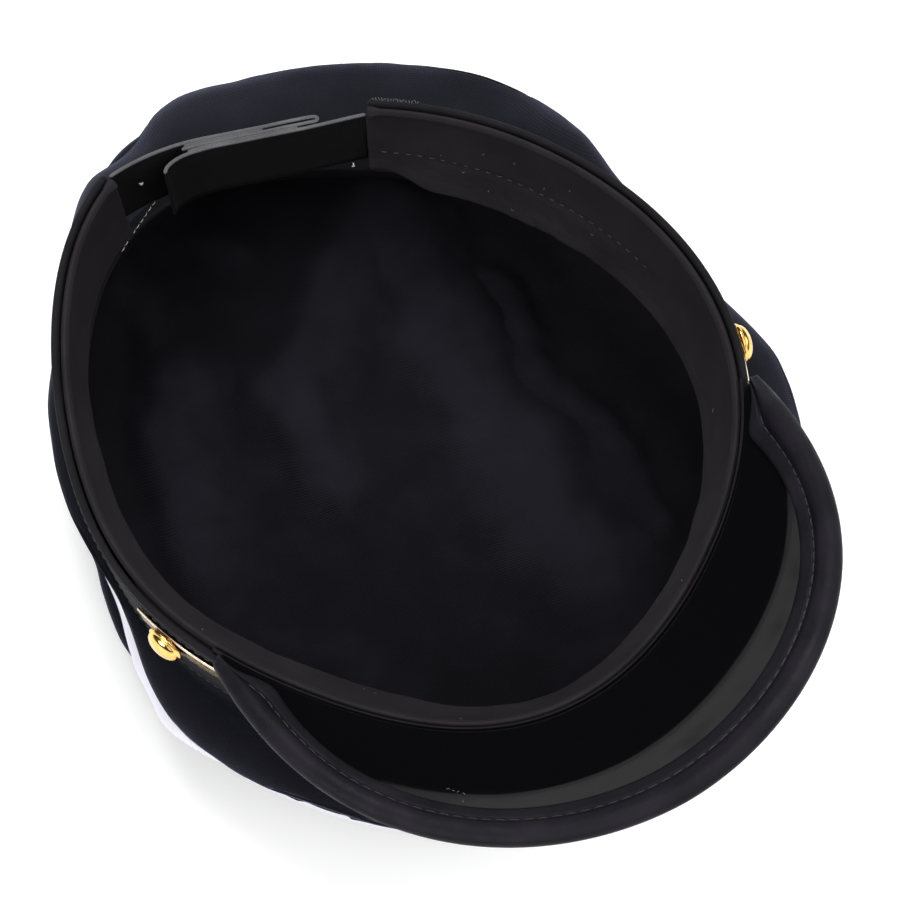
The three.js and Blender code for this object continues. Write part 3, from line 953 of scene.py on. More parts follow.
@dataclass(frozen=True)
class BraidFinish:
    """Flat metallic braid."""

    name: str
    colour: Colour = (0.27, 0.172, 0.068)
    deep: Colour = (0.045, 0.028, 0.011)
    strand: float = 0.32
    strand_height: float = 0.012
    strand_share: float = 0.3
    roughness: tuple[float, float] = (0.1, 0.2)

    def material(self) -> bpy.types.Material:
        """Mixes the braid: fine metallic strands along each plait, darker between them."""
        mix = Mix(self.name)
        cut = mix.node("UVMap", {"uv_map": "cut"}).outputs["UV"]
        split = mix.node("SeparateXYZ", Vector=cut)
        turns = math.tau / (self.strand * CUT_UNIT)
        slant = mix.maths("ADD", split.outputs["X"], split.outputs["Y"])
        strand = mix.maths("SINE", mix.maths("MULTIPLY", slant, turns))
        fleck = mix.grain(0.6, 3.0)
        shade = mix.weigh((strand, self.strand_share), (fleck, 1.0))
        mix.shade(
            Base_Color=mix.blend(mix.level(shade, 0.2, 0.8), self.deep, self.colour),
            Roughness=mix.level(fleck, 0.3, 0.7, self.roughness),
            Normal=mix.raise_by([(strand, self.strand_height * MM)]),
            Metallic=1.0,
        )
        return mix.material


@dataclass(frozen=True)
class ThreadFinish:
    """Sewing thread or loose fibre."""

    name: str
    colour: Colour
    roughness: float = 0.6
    twist: float = 0.04
    paler: float = 1.6
    palest: float = 0.004
    sheen: float = 0.2

    def material(self) -> bpy.types.Material:
        """Mixes the thread: fine twist and small changes of shade."""
        mix = Mix(self.name)
        twist = mix.grain(0.3, 2.0)
        pale = tuple(min(c * self.paler + self.palest, 1.0) for c in self.colour)
        mix.shade(
            Base_Color=mix.blend(mix.level(twist, 0.35, 0.65), self.colour, pale),
            Roughness=self.roughness,
            Normal=mix.raise_by([(twist, self.twist * MM)]),
            Sheen_Weight=self.sheen,
        )
        return mix.material


Finish = ClothFinish | LeatheretteFinish | GlossFinish | MetalFinish | BraidFinish | ThreadFinish


class Slot(Enum):
    """The record's material slots that a new piece may take its finish from."""

    NAVY = "navy_cloth"
    WHITE = "white_cloth"
    BLACK = "black_cloth"
    SWEAT = "sweatband_cloth"
    GLOSS = "gloss_black"
    LEATHERETTE = "leatherette"
    BRAID = "gold_braid"
    METAL = "gold_metal"
    WEBBING = "adjuster_webbing"


@dataclass(frozen=True)
class Finishes:
    """Every finish on the cap."""

    navy: ClothFinish = ClothFinish(
        "navy cloth", (0.0050, 0.0050, 0.0080), (0.0140, 0.0140, 0.0215), Weave.TWILL, 0.6, 0.05,
        sheen=0.24, sheen_tint=(0.62, 0.68, 1.0),
    )
    # The top's inner face, with painted shade: its raised folds lighter and its hollows darker.
    inside: ClothFinish = ClothFinish(
        "navy cloth inside", (0.0030, 0.0029, 0.0048), (0.0120, 0.0117, 0.0172), Weave.TWILL, 0.6,
        0.05, sheen=0.008, sheen_tint=(0.62, 0.68, 1.0), paints_ridge_shade=True,
    )
    # A darker copy of the navy cloth for the side's inner face, its first rows behind the head and
    # the seam tape: painted shade.
    shaded_navy: ClothFinish = ClothFinish(
        "navy cloth in painted shade", (0.0024, 0.0023, 0.0036), (0.0070, 0.0068, 0.0100),
        Weave.TWILL, 0.6, 0.05, sheen=0.0,
    )
    white: ClothFinish = ClothFinish(
        "white cloth", (0.76, 0.74, 0.83), (0.87, 0.85, 0.93), Weave.PLAIN, 0.5, 0.03,
        roughness=0.8, sheen=0.1,
    )
    black: ClothFinish = ClothFinish(
        "black band cloth", (0.0062, 0.0056, 0.0072), (0.0170, 0.0155, 0.0190), Weave.PLAIN, 0.5,
        0.04, sheen=0.03,
    )
    sweat: ClothFinish = ClothFinish(
        "sweatband cloth", (0.0135, 0.0112, 0.0145), (0.0310, 0.0260, 0.0325), Weave.PLAIN, 0.55,
        0.05, sheen=0.02, sheen_tint=(1.0, 0.9, 0.92),
    )
    webbing: ClothFinish = ClothFinish(
        "strap webbing", (0.0022, 0.0022, 0.0030), (0.0055, 0.0054, 0.0068), Weave.PLAIN, 0.8, 0.08,
        sheen=0.02,
    )
    selvedge: ClothFinish = ClothFinish(
        "strap selvedge", (0.06, 0.06, 0.066), (0.17, 0.17, 0.18), Weave.PLAIN, 0.5, 0.05,
        sheen=0.1,
    )
    gloss: GlossFinish = GlossFinish("polished peak plastic")
    leatherette: LeatheretteFinish = LeatheretteFinish("peak binding leatherette")
    braid: BraidFinish = BraidFinish("gold braid")
    # Much paler than the braid: partly a painted highlight along the braid's upper edge.
    cord: MetalFinish = MetalFinish("gold cord", (0.82, 0.72, 0.56), (0.6, 0.48, 0.34), 0.22)
    metal: MetalFinish = MetalFinish("gold button plate")
    dark_thread: ThreadFinish = ThreadFinish("dark sewing thread", (0.012, 0.0115, 0.013))
    pale_thread: ThreadFinish = ThreadFinish("pale sewing thread", (0.62, 0.63, 0.64))
    crease_thread: ThreadFinish = ThreadFinish("crease sewing thread", (0.035, 0.031, 0.036))
    lint: ThreadFinish = ThreadFinish("lint", (0.12, 0.12, 0.13))


class Sewn:
    """Puts finished pieces on the frame."""

    def __init__(self) -> None:
        """Keeps each material once, by its finish."""
        self.mixed: dict[str, bpy.types.Material] = {}

    def dress(self, obj: Piece, finish: Finish) -> None:
        """Gives a piece its finish, and leaves the faces marked for a second material, painted
        shade, as they are.
        """
        places = [polygon.material_index for polygon in obj.data.polygons]
        obj.data.materials.clear()
        obj.data.materials.append(self.material(finish))
        obj.data.polygons.foreach_set("material_index", places)

    def material(self, finish: Finish) -> bpy.types.Material:
        """The finish's material, mixed on first use."""
        if finish.name not in self.mixed:
            self.mixed[finish.name] = finish.material()
        return self.mixed[finish.name]

    def line(self, obj: Piece, finish: Finish) -> None:
        """Gives a piece a second material, a darker copy of its cloth for painted shade, on the
        faces marked for it.
        """
        obj.data.materials.append(self.material(finish))

    def attach(self, obj: Piece, finish: Finish, slot: Slot, *nodes: str) -> Piece:
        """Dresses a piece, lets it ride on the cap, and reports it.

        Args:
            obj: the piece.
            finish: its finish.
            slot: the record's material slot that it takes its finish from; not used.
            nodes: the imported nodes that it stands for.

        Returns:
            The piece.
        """
        self.dress(obj, finish)
        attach(obj, BODY)
        if nodes:
            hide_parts(*nodes)
        triangles = sum(len(p.vertices) - 2 for p in obj.data.polygons)
        LOG.info("%s: %d triangles", obj.name, triangles)
        return obj


# ------------ Crown ------------


@dataclass(frozen=True)
class SideDent:
    """A soft hollow or bulge in the crown's side."""

    at: float
    wide: float
    share: float
    tall: float
    push: float


@dataclass(frozen=True)
class FloorFold:
    """A slack fold in the crown's top: a raised strip along a line, with soft sides."""

    line: Plan
    height: float
    half_width: float
    side: float

    def lift(self, x: Array, y: Array) -> Array:
        """How far the fold lifts the cloth at some places on the floor."""
        away = np.full(x.shape, np.inf)
        for (x0, y0), (x1, y1) in zip(self.line, self.line[1:]):
            dx, dy = x1 - x0, y1 - y0
            t = np.clip(((x - x0) * dx + (y - y0) * dy) / (dx * dx + dy * dy), 0, 1)
            away = np.minimum(away, np.hypot(x - x0 - t * dx, y - y0 - t * dy))
        share = np.clip((self.half_width + self.side / 2 - away) / self.side, 0, 1)
        crown = 1 - 0.25 * np.clip(away / self.half_width, 0, 1) ** 2
        return self.height * share**2 * (3 - 2 * share) * crown


@dataclass
class Crown:
    """The soft crown: its side, white trim, piping and flat-lying top."""

    sewn: Sewn
    finishes: Finishes
    stations: int = 360
    wall: float = 1.4
    top_drop: float = 38.4
    start_out: float = 0.4
    tuck_out: float = -1.3
    tuck_drops: tuple[float, float] = (34.5, 37.8)
    side_count: int = 52
    roll_drop: float = 42.0
    seam_drop: float = 45.5
    edge_drop: float = 54.5
    full_swell: float = 22.0
    seam_turn: float = 1.5
    seam_gap: float = 0.2
    hem_rise: float = 0.5
    hem_out: float = 0.6
    trim_count: int = 20
    piping_radius: float = 1.3
    piping_sides: int = 12
    piping_ripples: Ripples = ((0.05, 5.0, 9),)
    top_stations: int = 288
    top_rows: int = 61
    top_crowding: float = 0.92
    round_count: int = 15
    floor_round: float = 20.0
    centre: tuple[float, float] = (0.0, 9.0)
    # share of the way out, fall to the roll, puff above that line, share of the rim's lift
    side_rows: tuple[tuple[float, float, float, float], ...] = (
        (0.0, 0.0, -0.5, 1.0),
        (0.12, 0.25, -2.0, 0.9),
        (0.3, 0.36, 0.2, 0.7),
        (0.5, 0.45, 1.9, 0.5),
        (0.7, 0.53, 2.7, 0.36),
        (0.88, 0.66, 2.4, 0.22),
        (0.985, 0.86, 1.3, 0.12),
        (1.0, 1.0, 0.3, 0.06),
    )
    dents: tuple[SideDent, ...] = (
        SideDent(-166, 7, 0.72, 0.5, -3.4),
        SideDent(-154, 9, 0.6, 0.5, 1.6),
        SideDent(-178, 8, 0.5, 0.4, 1.4),
        SideDent(160, 16, 0.35, 0.3, -1.8),
        SideDent(138, 12, 0.42, 0.3, -2.4),
        SideDent(120, 9, 0.55, 0.35, 1.6),
        SideDent(70, 14, 0.4, 0.4, -1.6),
        SideDent(40, 12, 0.6, 0.5, 1.2),
        SideDent(-40, 14, 0.5, 0.5, -1.5),
        SideDent(-12, 10, 0.6, 0.5, 1.3),
        SideDent(12, 9, 0.5, 0.5, -1.4),
    )
    folds: tuple[FloorFold, ...] = (
        FloorFold(((40, 84), (38, 44), (33, 4)), 5.6, 15, 20),
        FloorFold(((33, 4), (34, -30), (36, -54)), 5.2, 17, 20),
        FloorFold(((34, 84), (4, 54), (-20, 44)), 5.0, 12, 18),
        FloorFold(((-14, 40), (-17, 12)), 5.2, 12, 17),
        FloorFold(((-46, 64), (-56, 36), (-62, 2)), 5.0, 12, 17),
        FloorFold(((-13, 98), (-27, 112)), 3.0, 7, 10),
        FloorFold(((-40, 84), (-48, 104)), 3.0, 6, 9),
        FloorFold(((58, 44), (60, -8), (64, -48)), 3.2, 6, 10),
        FloorFold(((-60, -24), (-34, -56)), 2.2, 7, 16),
        FloorFold(((8, -80), (42, -70)), 1.8, 5, 11),
    )
    side_ripples: Ripples = ((0.9, 26.0, 1), (0.35, 9.0, 2))
    side_least: float = 0.25
    trim_ripples: Ripples = ((0.5, 22.0, 5), (0.22, 7.0, 6))
    fold_ripples_x: Ripples = ((6.0, 24.0, 17), (2.0, 8.0, 19))
    fold_ripples_y: Ripples = ((6.0, 24.0, 18),)
    slack_ripples: Ripples = ((1.1, 30.0, 11),)
    slack: float = 0.1
    crumple_ripples: Ripples = ((0.35, 10.0, 12),)
    # fold height at which the top's painted shade is lightest
    ridge_shade_height: float = 6.0
    tape_in: float = 2.7
    tape_over: float = 3.0
    tape_wall: float = 0.6
    tape_count: int = 12
    # where the side's painted shade starts to cover its first rows behind the head, and how many
    # rows
    painted_shade_from: float = 152.0
    painted_shade_rows: int = 16

    def profile(self, angles: Array) -> tuple[Array, Array, Array, Array]:
        """How far out the roll and the trim's seam, belly and lower edge lie at each angle."""
        return tuple(CROWN_OUTLINE.read(name, angles) for name in CROWN_OUTLINE.values)

    def hem(self, belly: Array, edge: Array) -> Array:
        """How far out the lower hem lies: over the piping, but short of the belly."""
        return np.minimum(edge + self.hem_out, belly - self.seam_gap)

    def above_floor(self, angles: Array, height: Array, share: Array | float = 0.0) -> Array:
        """Turns heights above the floor into heights above the rim.

        Args:
            angles: one for each station.
            height: heights above the floor where the rim has no lift.
            share: how much of the rim's lift each height follows.

        Returns:
            Heights above the rim.
        """
        lift = RIM.lift(angles)[:, None]
        return height + share * lift - (RIM.height + lift)

    def side(self) -> Piece:
        """The navy side, from the head band out over its roll to the trim."""
        angles = round_angles(self.stations)
        roll, seam, _, _ = self.profile(angles)
        swell = (roll - self.start_out)[:, None]
        full = np.clip(swell / self.full_swell, 0, 1)
        rows = np.array(self.side_rows)
        top, low = RIM.height - self.top_drop, RIM.height - self.roll_drop
        height = top + (low - top) * rows[:, 1] + rows[:, 2] * full
        out = self.start_out + rows[:, 0] * swell
        up = self.above_floor(angles, height, rows[:, 3])
        seam_level = RIM.height - self.seam_drop + self.seam_gap
        seam_up = self.above_floor(angles, np.array([[seam_level]]))
        seam, flat = seam[:, None], np.zeros_like(seam_up)
        parts = [(flat + self.tuck_out, flat - drop) for drop in self.tuck_drops]
        parts += [(out, up), (seam, seam_up), (seam - self.seam_turn, seam_up + self.hem_rise)]
        line = np.stack([np.concatenate(part, axis=1) for part in zip(*parts)], -1)
        middle = smooth_rows(line, self.side_count)
        wall = Wall(angles, middle, self.wall).pushed(self.side_relief(angles, middle, full))
        made = wall.build("crown_side_cloth")
        wall.paint_shade_inside(made, self.painted_shade_from, self.painted_shade_rows)
        return made

    def side_relief(self, angles: Array, middle: Array, full: Array) -> Array:
        """How far dents and ripples push the side out at each station and row."""
        count = middle.shape[1]
        behind = len(self.tuck_drops) / (len(self.side_rows) + len(self.tuck_drops) + 1)
        share = np.clip((np.linspace(0, 1, count)[None, :] - behind) / (1 - behind), 0, 1)
        relief = np.zeros(middle.shape[:2])
        for dent in self.dents:
            round_way = (angles - dent.at + 180) % 360 - 180
            near = bump((round_way / dent.wide)[:, None]) * bump((share - dent.share) / dent.tall)
            relief += dent.push * near
        points = RIM.beside(angles, middle[..., 0], middle[..., 1])
        relief += ripples(points, self.side_ripples)
        at_edges = bump(np.clip(np.abs(share - 0.5) * 2, 0, 1) ** 4)
        return relief * at_edges * (self.side_least + (1 - self.side_least) * full)

    def trim(self) -> Piece:
        """The white strip between the side and the piping, turned in at both seams."""
        angles = round_angles(self.stations)
        _, seam, belly, edge = self.profile(angles)
        high = RIM.height - self.seam_drop - self.seam_gap
        low = RIM.height - self.edge_drop + self.piping_radius + self.seam_gap
        hem = self.hem(belly, edge)
        rows = [
            (seam - self.seam_turn, high - self.hem_rise),
            (seam - self.seam_gap / 2, high),
            (0.42 * seam + 0.58 * belly, high + 0.26 * (low - high)),
            (belly, high + 0.58 * (low - high)),
            (0.35 * belly + 0.65 * hem, high + 0.86 * (low - high)),
            (hem, low),
            (hem - self.seam_turn, low + self.hem_rise),
        ]
        out = np.stack([row[0] for row in rows], 1)
        up = self.above_floor(angles, np.array([[row[1] for row in rows]]))
        middle = smooth_rows(np.stack([out, up], -1), self.trim_count)
        share = np.linspace(0, 1, self.trim_count)[None, :]
        points = RIM.beside(angles, middle[..., 0], middle[..., 1])
        waver = ripples(points, self.trim_ripples) * bump((share - 0.5) * 2)
        return Wall(angles, middle, self.wall).pushed(waver).build("crown_trim_cloth")

    def seam_tape(self) -> Piece:
        """The navy tape that covers the white strip and its seams on the inside, in the darker copy
        of the navy cloth: painted shade.
        """
        angles = round_angles(self.stations)
        _, seam, belly, edge = self.profile(angles)
        hem = self.hem(belly, edge)
        high = RIM.height - self.seam_drop + self.tape_over
        low = RIM.height - self.edge_drop
        out = np.stack([seam, 0.5 * (seam + belly), belly, hem], 1) - self.tape_in
        levels = high + (low - high) * np.linspace(0, 1, 4)[None, :]
        rows = np.stack([out, self.above_floor(angles, levels)], -1)
        middle = smooth_rows(rows, self.tape_count)
        return Wall(angles, middle, self.tape_wall).build("crown_seam_tape")

    def piping(self) -> Piece:
        """The thin corded edge under the white strip."""
        angles = round_angles(self.stations)
        edge = self.profile(angles)[3]
        turns = np.linspace(0, math.tau, self.piping_sides, endpoint=False)
        points = RIM.beside(angles, edge, np.zeros_like(edge))
        radius = self.piping_radius * (1 + ripples(points, self.piping_ripples))[:, None]
        out = edge[:, None] + radius * np.cos(turns)
        height = RIM.height - self.edge_drop + radius * np.sin(turns)
        rings = RIM.beside(angles, out, self.above_floor(angles, height))
        along = RIM.lengths(np.append(angles, angles[0] + 360.0))
        cut = cut_lengths(along, turns * self.piping_radius)
        return loft("crown_piping_cord", rings, cut, True)

    def floor_height(self, x: Array, y: Array) -> Array:
        """How far the folds lift the top's cloth off the floor."""
        spots = np.stack([x, y, np.zeros_like(x)], -1)
        bent_x = x + ripples(spots, self.fold_ripples_x)
        bent_y = y + ripples(spots, self.fold_ripples_y)
        lift = np.max([fold.lift(bent_x, bent_y) for fold in self.folds], axis=0)
        lift += np.clip(ripples(spots, self.slack_ripples) + self.slack, 0, None)
        return lift + np.clip(ripples(spots, self.crumple_ripples), 0, None)

    def top_edge(self, angles: Array) -> Array:
        """The top panel's rounded edge, from its turned-in hem down to the floor."""
        edge = self.profile(angles)[3]
        high = RIM.height - self.edge_drop - self.piping_radius - self.seam_gap
        turns = np.radians(np.concatenate([[0.0], np.linspace(0, 90, self.round_count)]))
        out = edge[:, None] - self.seam_gap - self.floor_round * (1 - np.cos(turns))
        height = np.broadcast_to(high * (1 - np.sin(turns)), out.shape).copy()
        out[:, 0] -= self.seam_turn
        height[:, 0] -= self.hem_rise
        points = RIM.beside(angles, out, self.above_floor(angles, height))
        points[..., 2] = np.maximum(points[..., 2], 0.0)
        return points

    def top_normals(self, outer: Array) -> Array:
        """Directions from the top's outer face into the cap, upright round its centre."""
        tangent = np.gradient(outer, axis=1)
        round_way = np.roll(outer, -1, axis=0) - np.roll(outer, 1, axis=0)
        inward = np.cross(tangent, round_way)
        length = np.linalg.norm(inward, axis=2, keepdims=True)
        inward = np.where(length > 1e-6, inward / np.maximum(length, 1e-9), UPWARD)
        if inward[0, -10, 2] < 0:
            inward = -inward
        inward[:, -2:] = UPWARD
        return inward

    def top(self) -> Piece:
        """The top panel: its rounded edge under the piping, and the slack cloth on the floor."""
        rim_part = self.top_edge(round_angles(self.top_stations))
        reach = np.linspace(1, 0, self.top_rows + 1)[1:] ** self.top_crowding
        foot, centre = rim_part[:, -1], np.array([*self.centre, 0.0])
        flat = centre + (foot - centre)[:, None] * reach[None, :, None]
        outer = np.concatenate([rim_part, flat], axis=1)
        turned = rim_part.shape[1]
        settle = np.ones(outer.shape[1])
        settle[:turned] = np.linspace(0, 1, turned) ** 1.5
        outer[..., 2] += self.floor_height(outer[..., 0], outer[..., 1]) * settle
        inner = outer + self.top_normals(outer) * self.wall
        rings = np.concatenate([outer, inner[:, ::-1]], axis=1)
        plan = np.concatenate([rings, rings[:1]])[..., :2]
        made = loft("crown_top_cloth", rings, plan, True)
        # painted shade from the folds' height
        self.rub(made)
        weld(made)
        return made

    def rub(self, top: Piece) -> None:
        """Marks on a second map how far each place is raised; from it the cloth's material paints
        raised places lighter and hollows darker, as painted shade.
        """
        places = [top.data.vertices[loop.vertex_index].co / MM for loop in top.data.loops]
        places = np.array(places)
        lift = self.floor_height(places[:, 0], places[:, 1]) / self.ridge_shade_height
        layer = top.data.uv_layers.new(name="rub")
        marks = np.stack([np.clip(lift, 0, 1), np.zeros(len(lift))], -1)
        layer.data.foreach_set("uv", marks.astype(np.float32).ravel())

    def build(self) -> None:
        """Makes the crown's pieces and sews them on."""
        navy, white = self.finishes.navy, self.finishes.white
        side = self.sewn.attach(self.side(), navy, Slot.NAVY, "crown_side")
        # The side's inner face and its first rows behind the head take a darker copy of the cloth:
        # painted shade.
        self.sewn.line(side, self.finishes.shaded_navy)
        self.sewn.attach(self.trim(), white, Slot.WHITE, "crown_trim")
        self.sewn.attach(self.seam_tape(), self.finishes.shaded_navy, Slot.NAVY)
        self.sewn.attach(self.piping(), navy, Slot.NAVY, "crown_piping")
        self.sewn.attach(self.top(), self.finishes.inside, Slot.NAVY, "crown_top")


# ------------ Head band and sweatband ------------


@dataclass
class HeadBand:
    """The stiff outer band and the sweatband folded over inside it, both open at the back."""

    sewn: Sewn
    finishes: Finishes
    stations: int = 340
    depth: float = 38.0
    wall: float = 2.0
    top_out: float = 2.4
    bottom_out: float = 1.1
    gap_half_angle: float = 26.0
    peak_half_angle: float = 65.2
    top_drop: float = 0.2
    fold: float = 0.9
    band_ripples: Ripples = ((0.3, 30.0, 21),)
    seam_depth: float = 0.22
    seam_drop: float = 3.2
    seam_width: float = 0.7
    seam_row: float = 3.9
    hem_row: tuple[float, float] = (36.0, 35.6)
    row_inset: float = 1.2
    row_lift: float = 0.02
    peak_drop: float = 0.55
    peak_margin: float = 3.0
    peak_soft: float = 4.0
    sweat_depth: float = 30.0
    sweat_wall: float = 1.2
    sweat_top: float = 0.5
    sweat_inset: float = 1.1
    sweat_out: float = -1.5
    worn_ripples: Ripples = ((0.55, 24.0, 31), (0.3, 8.0, 32))
    crease_ripples: Ripples = ((1.0, 30.0, 33),)
    rough_ripples: Ripples = ((0.5, 2.6, 35),)
    edge_ripples: Ripples = ((0.5, 13.0, 34),)
    fold_walls: tuple[float, ...] = (2.0, 2.3, 2.1, 1.6)
    hem_share: float = 1.35
    end_swell: float = 0.6
    end_hem: float = 1.5
    end_soft: float = 0.25
    lean: float = 7.0
    lean_front: float = 3.0
    lean_skew: float = -3.6
    crease_drop: float = 19.0
    crease_at: float = 118.0
    crease_over: float = 34.0
    crease_height: float = 0.9
    crease_width: float = 1.3
    crease_from: float = 92.0
    crease_row: float = 1.4
    crease_lift: float = 0.75
    corner_cut: float = 5.2
    corner_over: float = 15.0

    @property
    def reach(self) -> float:
        """Angle from the front to either end of the bands."""
        return 180.0 - self.gap_half_angle

    def band_out(self, drop: Array) -> Array:
        """How far out the band's outer face lies at a drop below the rim."""
        return self.top_out + (self.bottom_out - self.top_out) * np.asarray(drop) / self.depth

    def band(self) -> Piece:
        """The outer band, with its folded top edge and a stitched line below it."""
        angles = open_angles(self.reach, self.stations)
        past_peak = self.peak_half_angle + self.peak_margin - np.abs(angles)
        into = np.clip(past_peak / self.peak_soft, 0, 1)
        top = (self.top_drop + self.fold + self.peak_drop * into)[:, None]
        parts = (np.linspace(0, 0.08, 5), np.linspace(0.1, 0.9, 22), np.linspace(0.92, 1, 5))
        share = np.concatenate(parts)
        drop = top + (self.depth - self.fold - top) * share[None, :]
        out = self.band_out(drop) - self.wall / 2
        points = RIM.beside(angles, out, -drop)
        seam = -self.seam_depth * bump((drop - top - self.seam_drop) / self.seam_width)
        soft = ripples(points, self.band_ripples) * bump(share * 2 - 1)[None, :]
        out = out + seam + soft
        thick = self.wall * end_rounding(angles, self.wall)[:, None]
        return hanging_wall("head_band_cloth", angles, out, drop, thick)

    def sweat_lean(self, angles: Array) -> Array:
        """How far in the sweatband's deep edge leans."""
        a = np.radians(angles)
        return self.lean + self.lean_front * np.cos(a) + self.lean_skew * np.sin(2 * a)

    def sweat_middle(self, angles: Array, drop: Array) -> Array:
        """How far out the middle of the sweatband's cloth lies.

        Args:
            angles: one for each station.
            drop: drops below the rim, shaped (stations, rows) or (1, rows).

        Returns:
            Distances out of the rim, shaped (stations, rows).
        """
        share = drop / self.sweat_depth
        curve = 0.25 * share + 0.75 * share**2
        return self.sweat_out - self.sweat_lean(angles)[:, None] * curve

    def sweatband(self) -> Piece:
        """The sweatband: a fold at the rim, a soft crease, and a hem at its deep edge."""
        angles = open_angles(self.reach, self.stations)
        share = np.concatenate([[0, 0.012, 0.03, 0.05, 0.075, 0.1], np.linspace(0.13, 1, 38)])
        corner = self.corner_cut * bump((self.reach - angles) / self.corner_over)[:, None]
        depth = self.sweat_depth - self.sweat_inset - corner
        drop = self.sweat_top + depth * share[None, :]
        out = self.sweat_middle(angles, drop)
        points = RIM.beside(angles, out, -drop)
        worn = ripples(points, self.worn_ripples) * np.clip(share * 3, 0, 1)[None, :]
        crease_drop = self.crease_drop + ripples(points, self.crease_ripples)
        right = bump((angles - self.crease_at) / self.crease_over)[:, None]
        crease = -self.crease_height * bump((drop - crease_drop) / self.crease_width) * right
        below = np.clip((drop - crease_drop - 0.5) / 1.5, 0, 1)
        rough = ripples(points, self.rough_ripples) * below * right
        out = out - (worn + crease + rough)
        near_edge = np.clip(share * 2 - 1, 0, 1)[None, :]
        drop = drop + ripples(points, self.edge_ripples) * near_edge
        thick = np.full(drop.shape, self.sweat_wall)
        thick[:, 1:5] = self.fold_walls
        thick[:, -5:] *= self.hem_share
        past_hem = self.end_hem - (self.reach - np.abs(angles))
        hem_end = np.clip(1 + past_hem / self.end_soft, 0, 1)
        thick = thick * (1 + self.end_swell * hem_end[:, None])
        thick = thick * end_rounding(angles, self.sweat_wall)[:, None]
        return hanging_wall("sweatband_cloth", angles, out, drop, thick)

    def sweat_line(self, angles: Array, drop: float, lift: float) -> tuple[Array, Array]:
        """A line on the sweatband's inner face.

        Args:
            angles: angles along the line.
            drop: its drop below the rim.
            lift: how far it stands off the cloth's middle.

        Returns:
            Points and inward normals.
        """
        drops = np.full((len(angles), 1), drop)
        out = self.sweat_middle(angles, drops)[:, 0] - lift
        return RIM.beside(angles, out, -drops[:, 0]), -RIM.normals(angles)

    def crease_sewing(self) -> Piece:
        """The dull stitched row along the sweatband's crease."""
        angles = np.linspace(self.crease_from, self.reach - 2, 260)
        drop = self.crease_drop - self.crease_row
        line, normals = self.sweat_line(angles, drop, self.crease_lift)
        thread = Thread(0.13, 1.5, 0.1, 2.0)
        row = stitch_row(line, normals, thread)
        return stitches("sweatband_crease_stitching", *row, thread)

    def sewing(self) -> Piece:
        """Stitched rows under the band's fold and above its hem."""
        thread = Thread(0.15, 2.0, 0.14)
        end = self.reach - self.row_inset
        angles = np.linspace(-end, end, 700)
        upper = self.seam_row + self.peak_drop
        rows = []
        for face_drop, drop in ((self.seam_row, upper), self.hem_row):
            out = self.band_out(face_drop) + self.row_lift
            line = RIM.beside(angles, out, np.full(len(angles), -drop))
            rows.append(stitch_row(line, RIM.normals(angles), thread))
        return stitched_rows("band_stitching", rows, thread)

    def build(self) -> None:
        """Makes both bands and their stitching."""
        self.sewn.attach(self.band(), self.finishes.black, Slot.BLACK, "cap_band")
        self.sewn.attach(self.sweatband(), self.finishes.sweat, Slot.SWEAT, "sweatband")
        self.sewn.attach(self.sewing(), self.finishes.dark_thread, Slot.SWEAT)
        self.sewn.attach(self.crease_sewing(), self.finishes.crease_thread, Slot.SWEAT)


# ------------ Peak ------------


@dataclass(frozen=True)
class Rulings:
    """Straight lines that cross the peak from its sewn edge to its free edge.

    Attributes:
        root: where each starts.
        outward: its direction.
        root_along, tip_along: how the sewn and the free edge run past its two ends.
        width: its length.
        reach: how far along it the plate goes.
    """

    root: Array
    outward: Array
    root_along: Array
    tip_along: Array
    width: Array
    reach: Array

    def face(self, share: Array) -> Array:
        """Upward directions square to the surface.

        Args:
            share: shares of the way along each ruling, shaped (stations, rows) or (1, rows).

        Returns:
            Unit vectors shaped (stations, rows, 3).
        """
        share = np.broadcast_to(share, (len(self.width), np.shape(share)[-1]))[..., None]
        along = self.root_along[:, None] * (1 - share) + self.tip_along[:, None] * share
        face = np.cross(self.outward[:, None], along)
        return face / np.linalg.norm(face, axis=-1, keepdims=True)


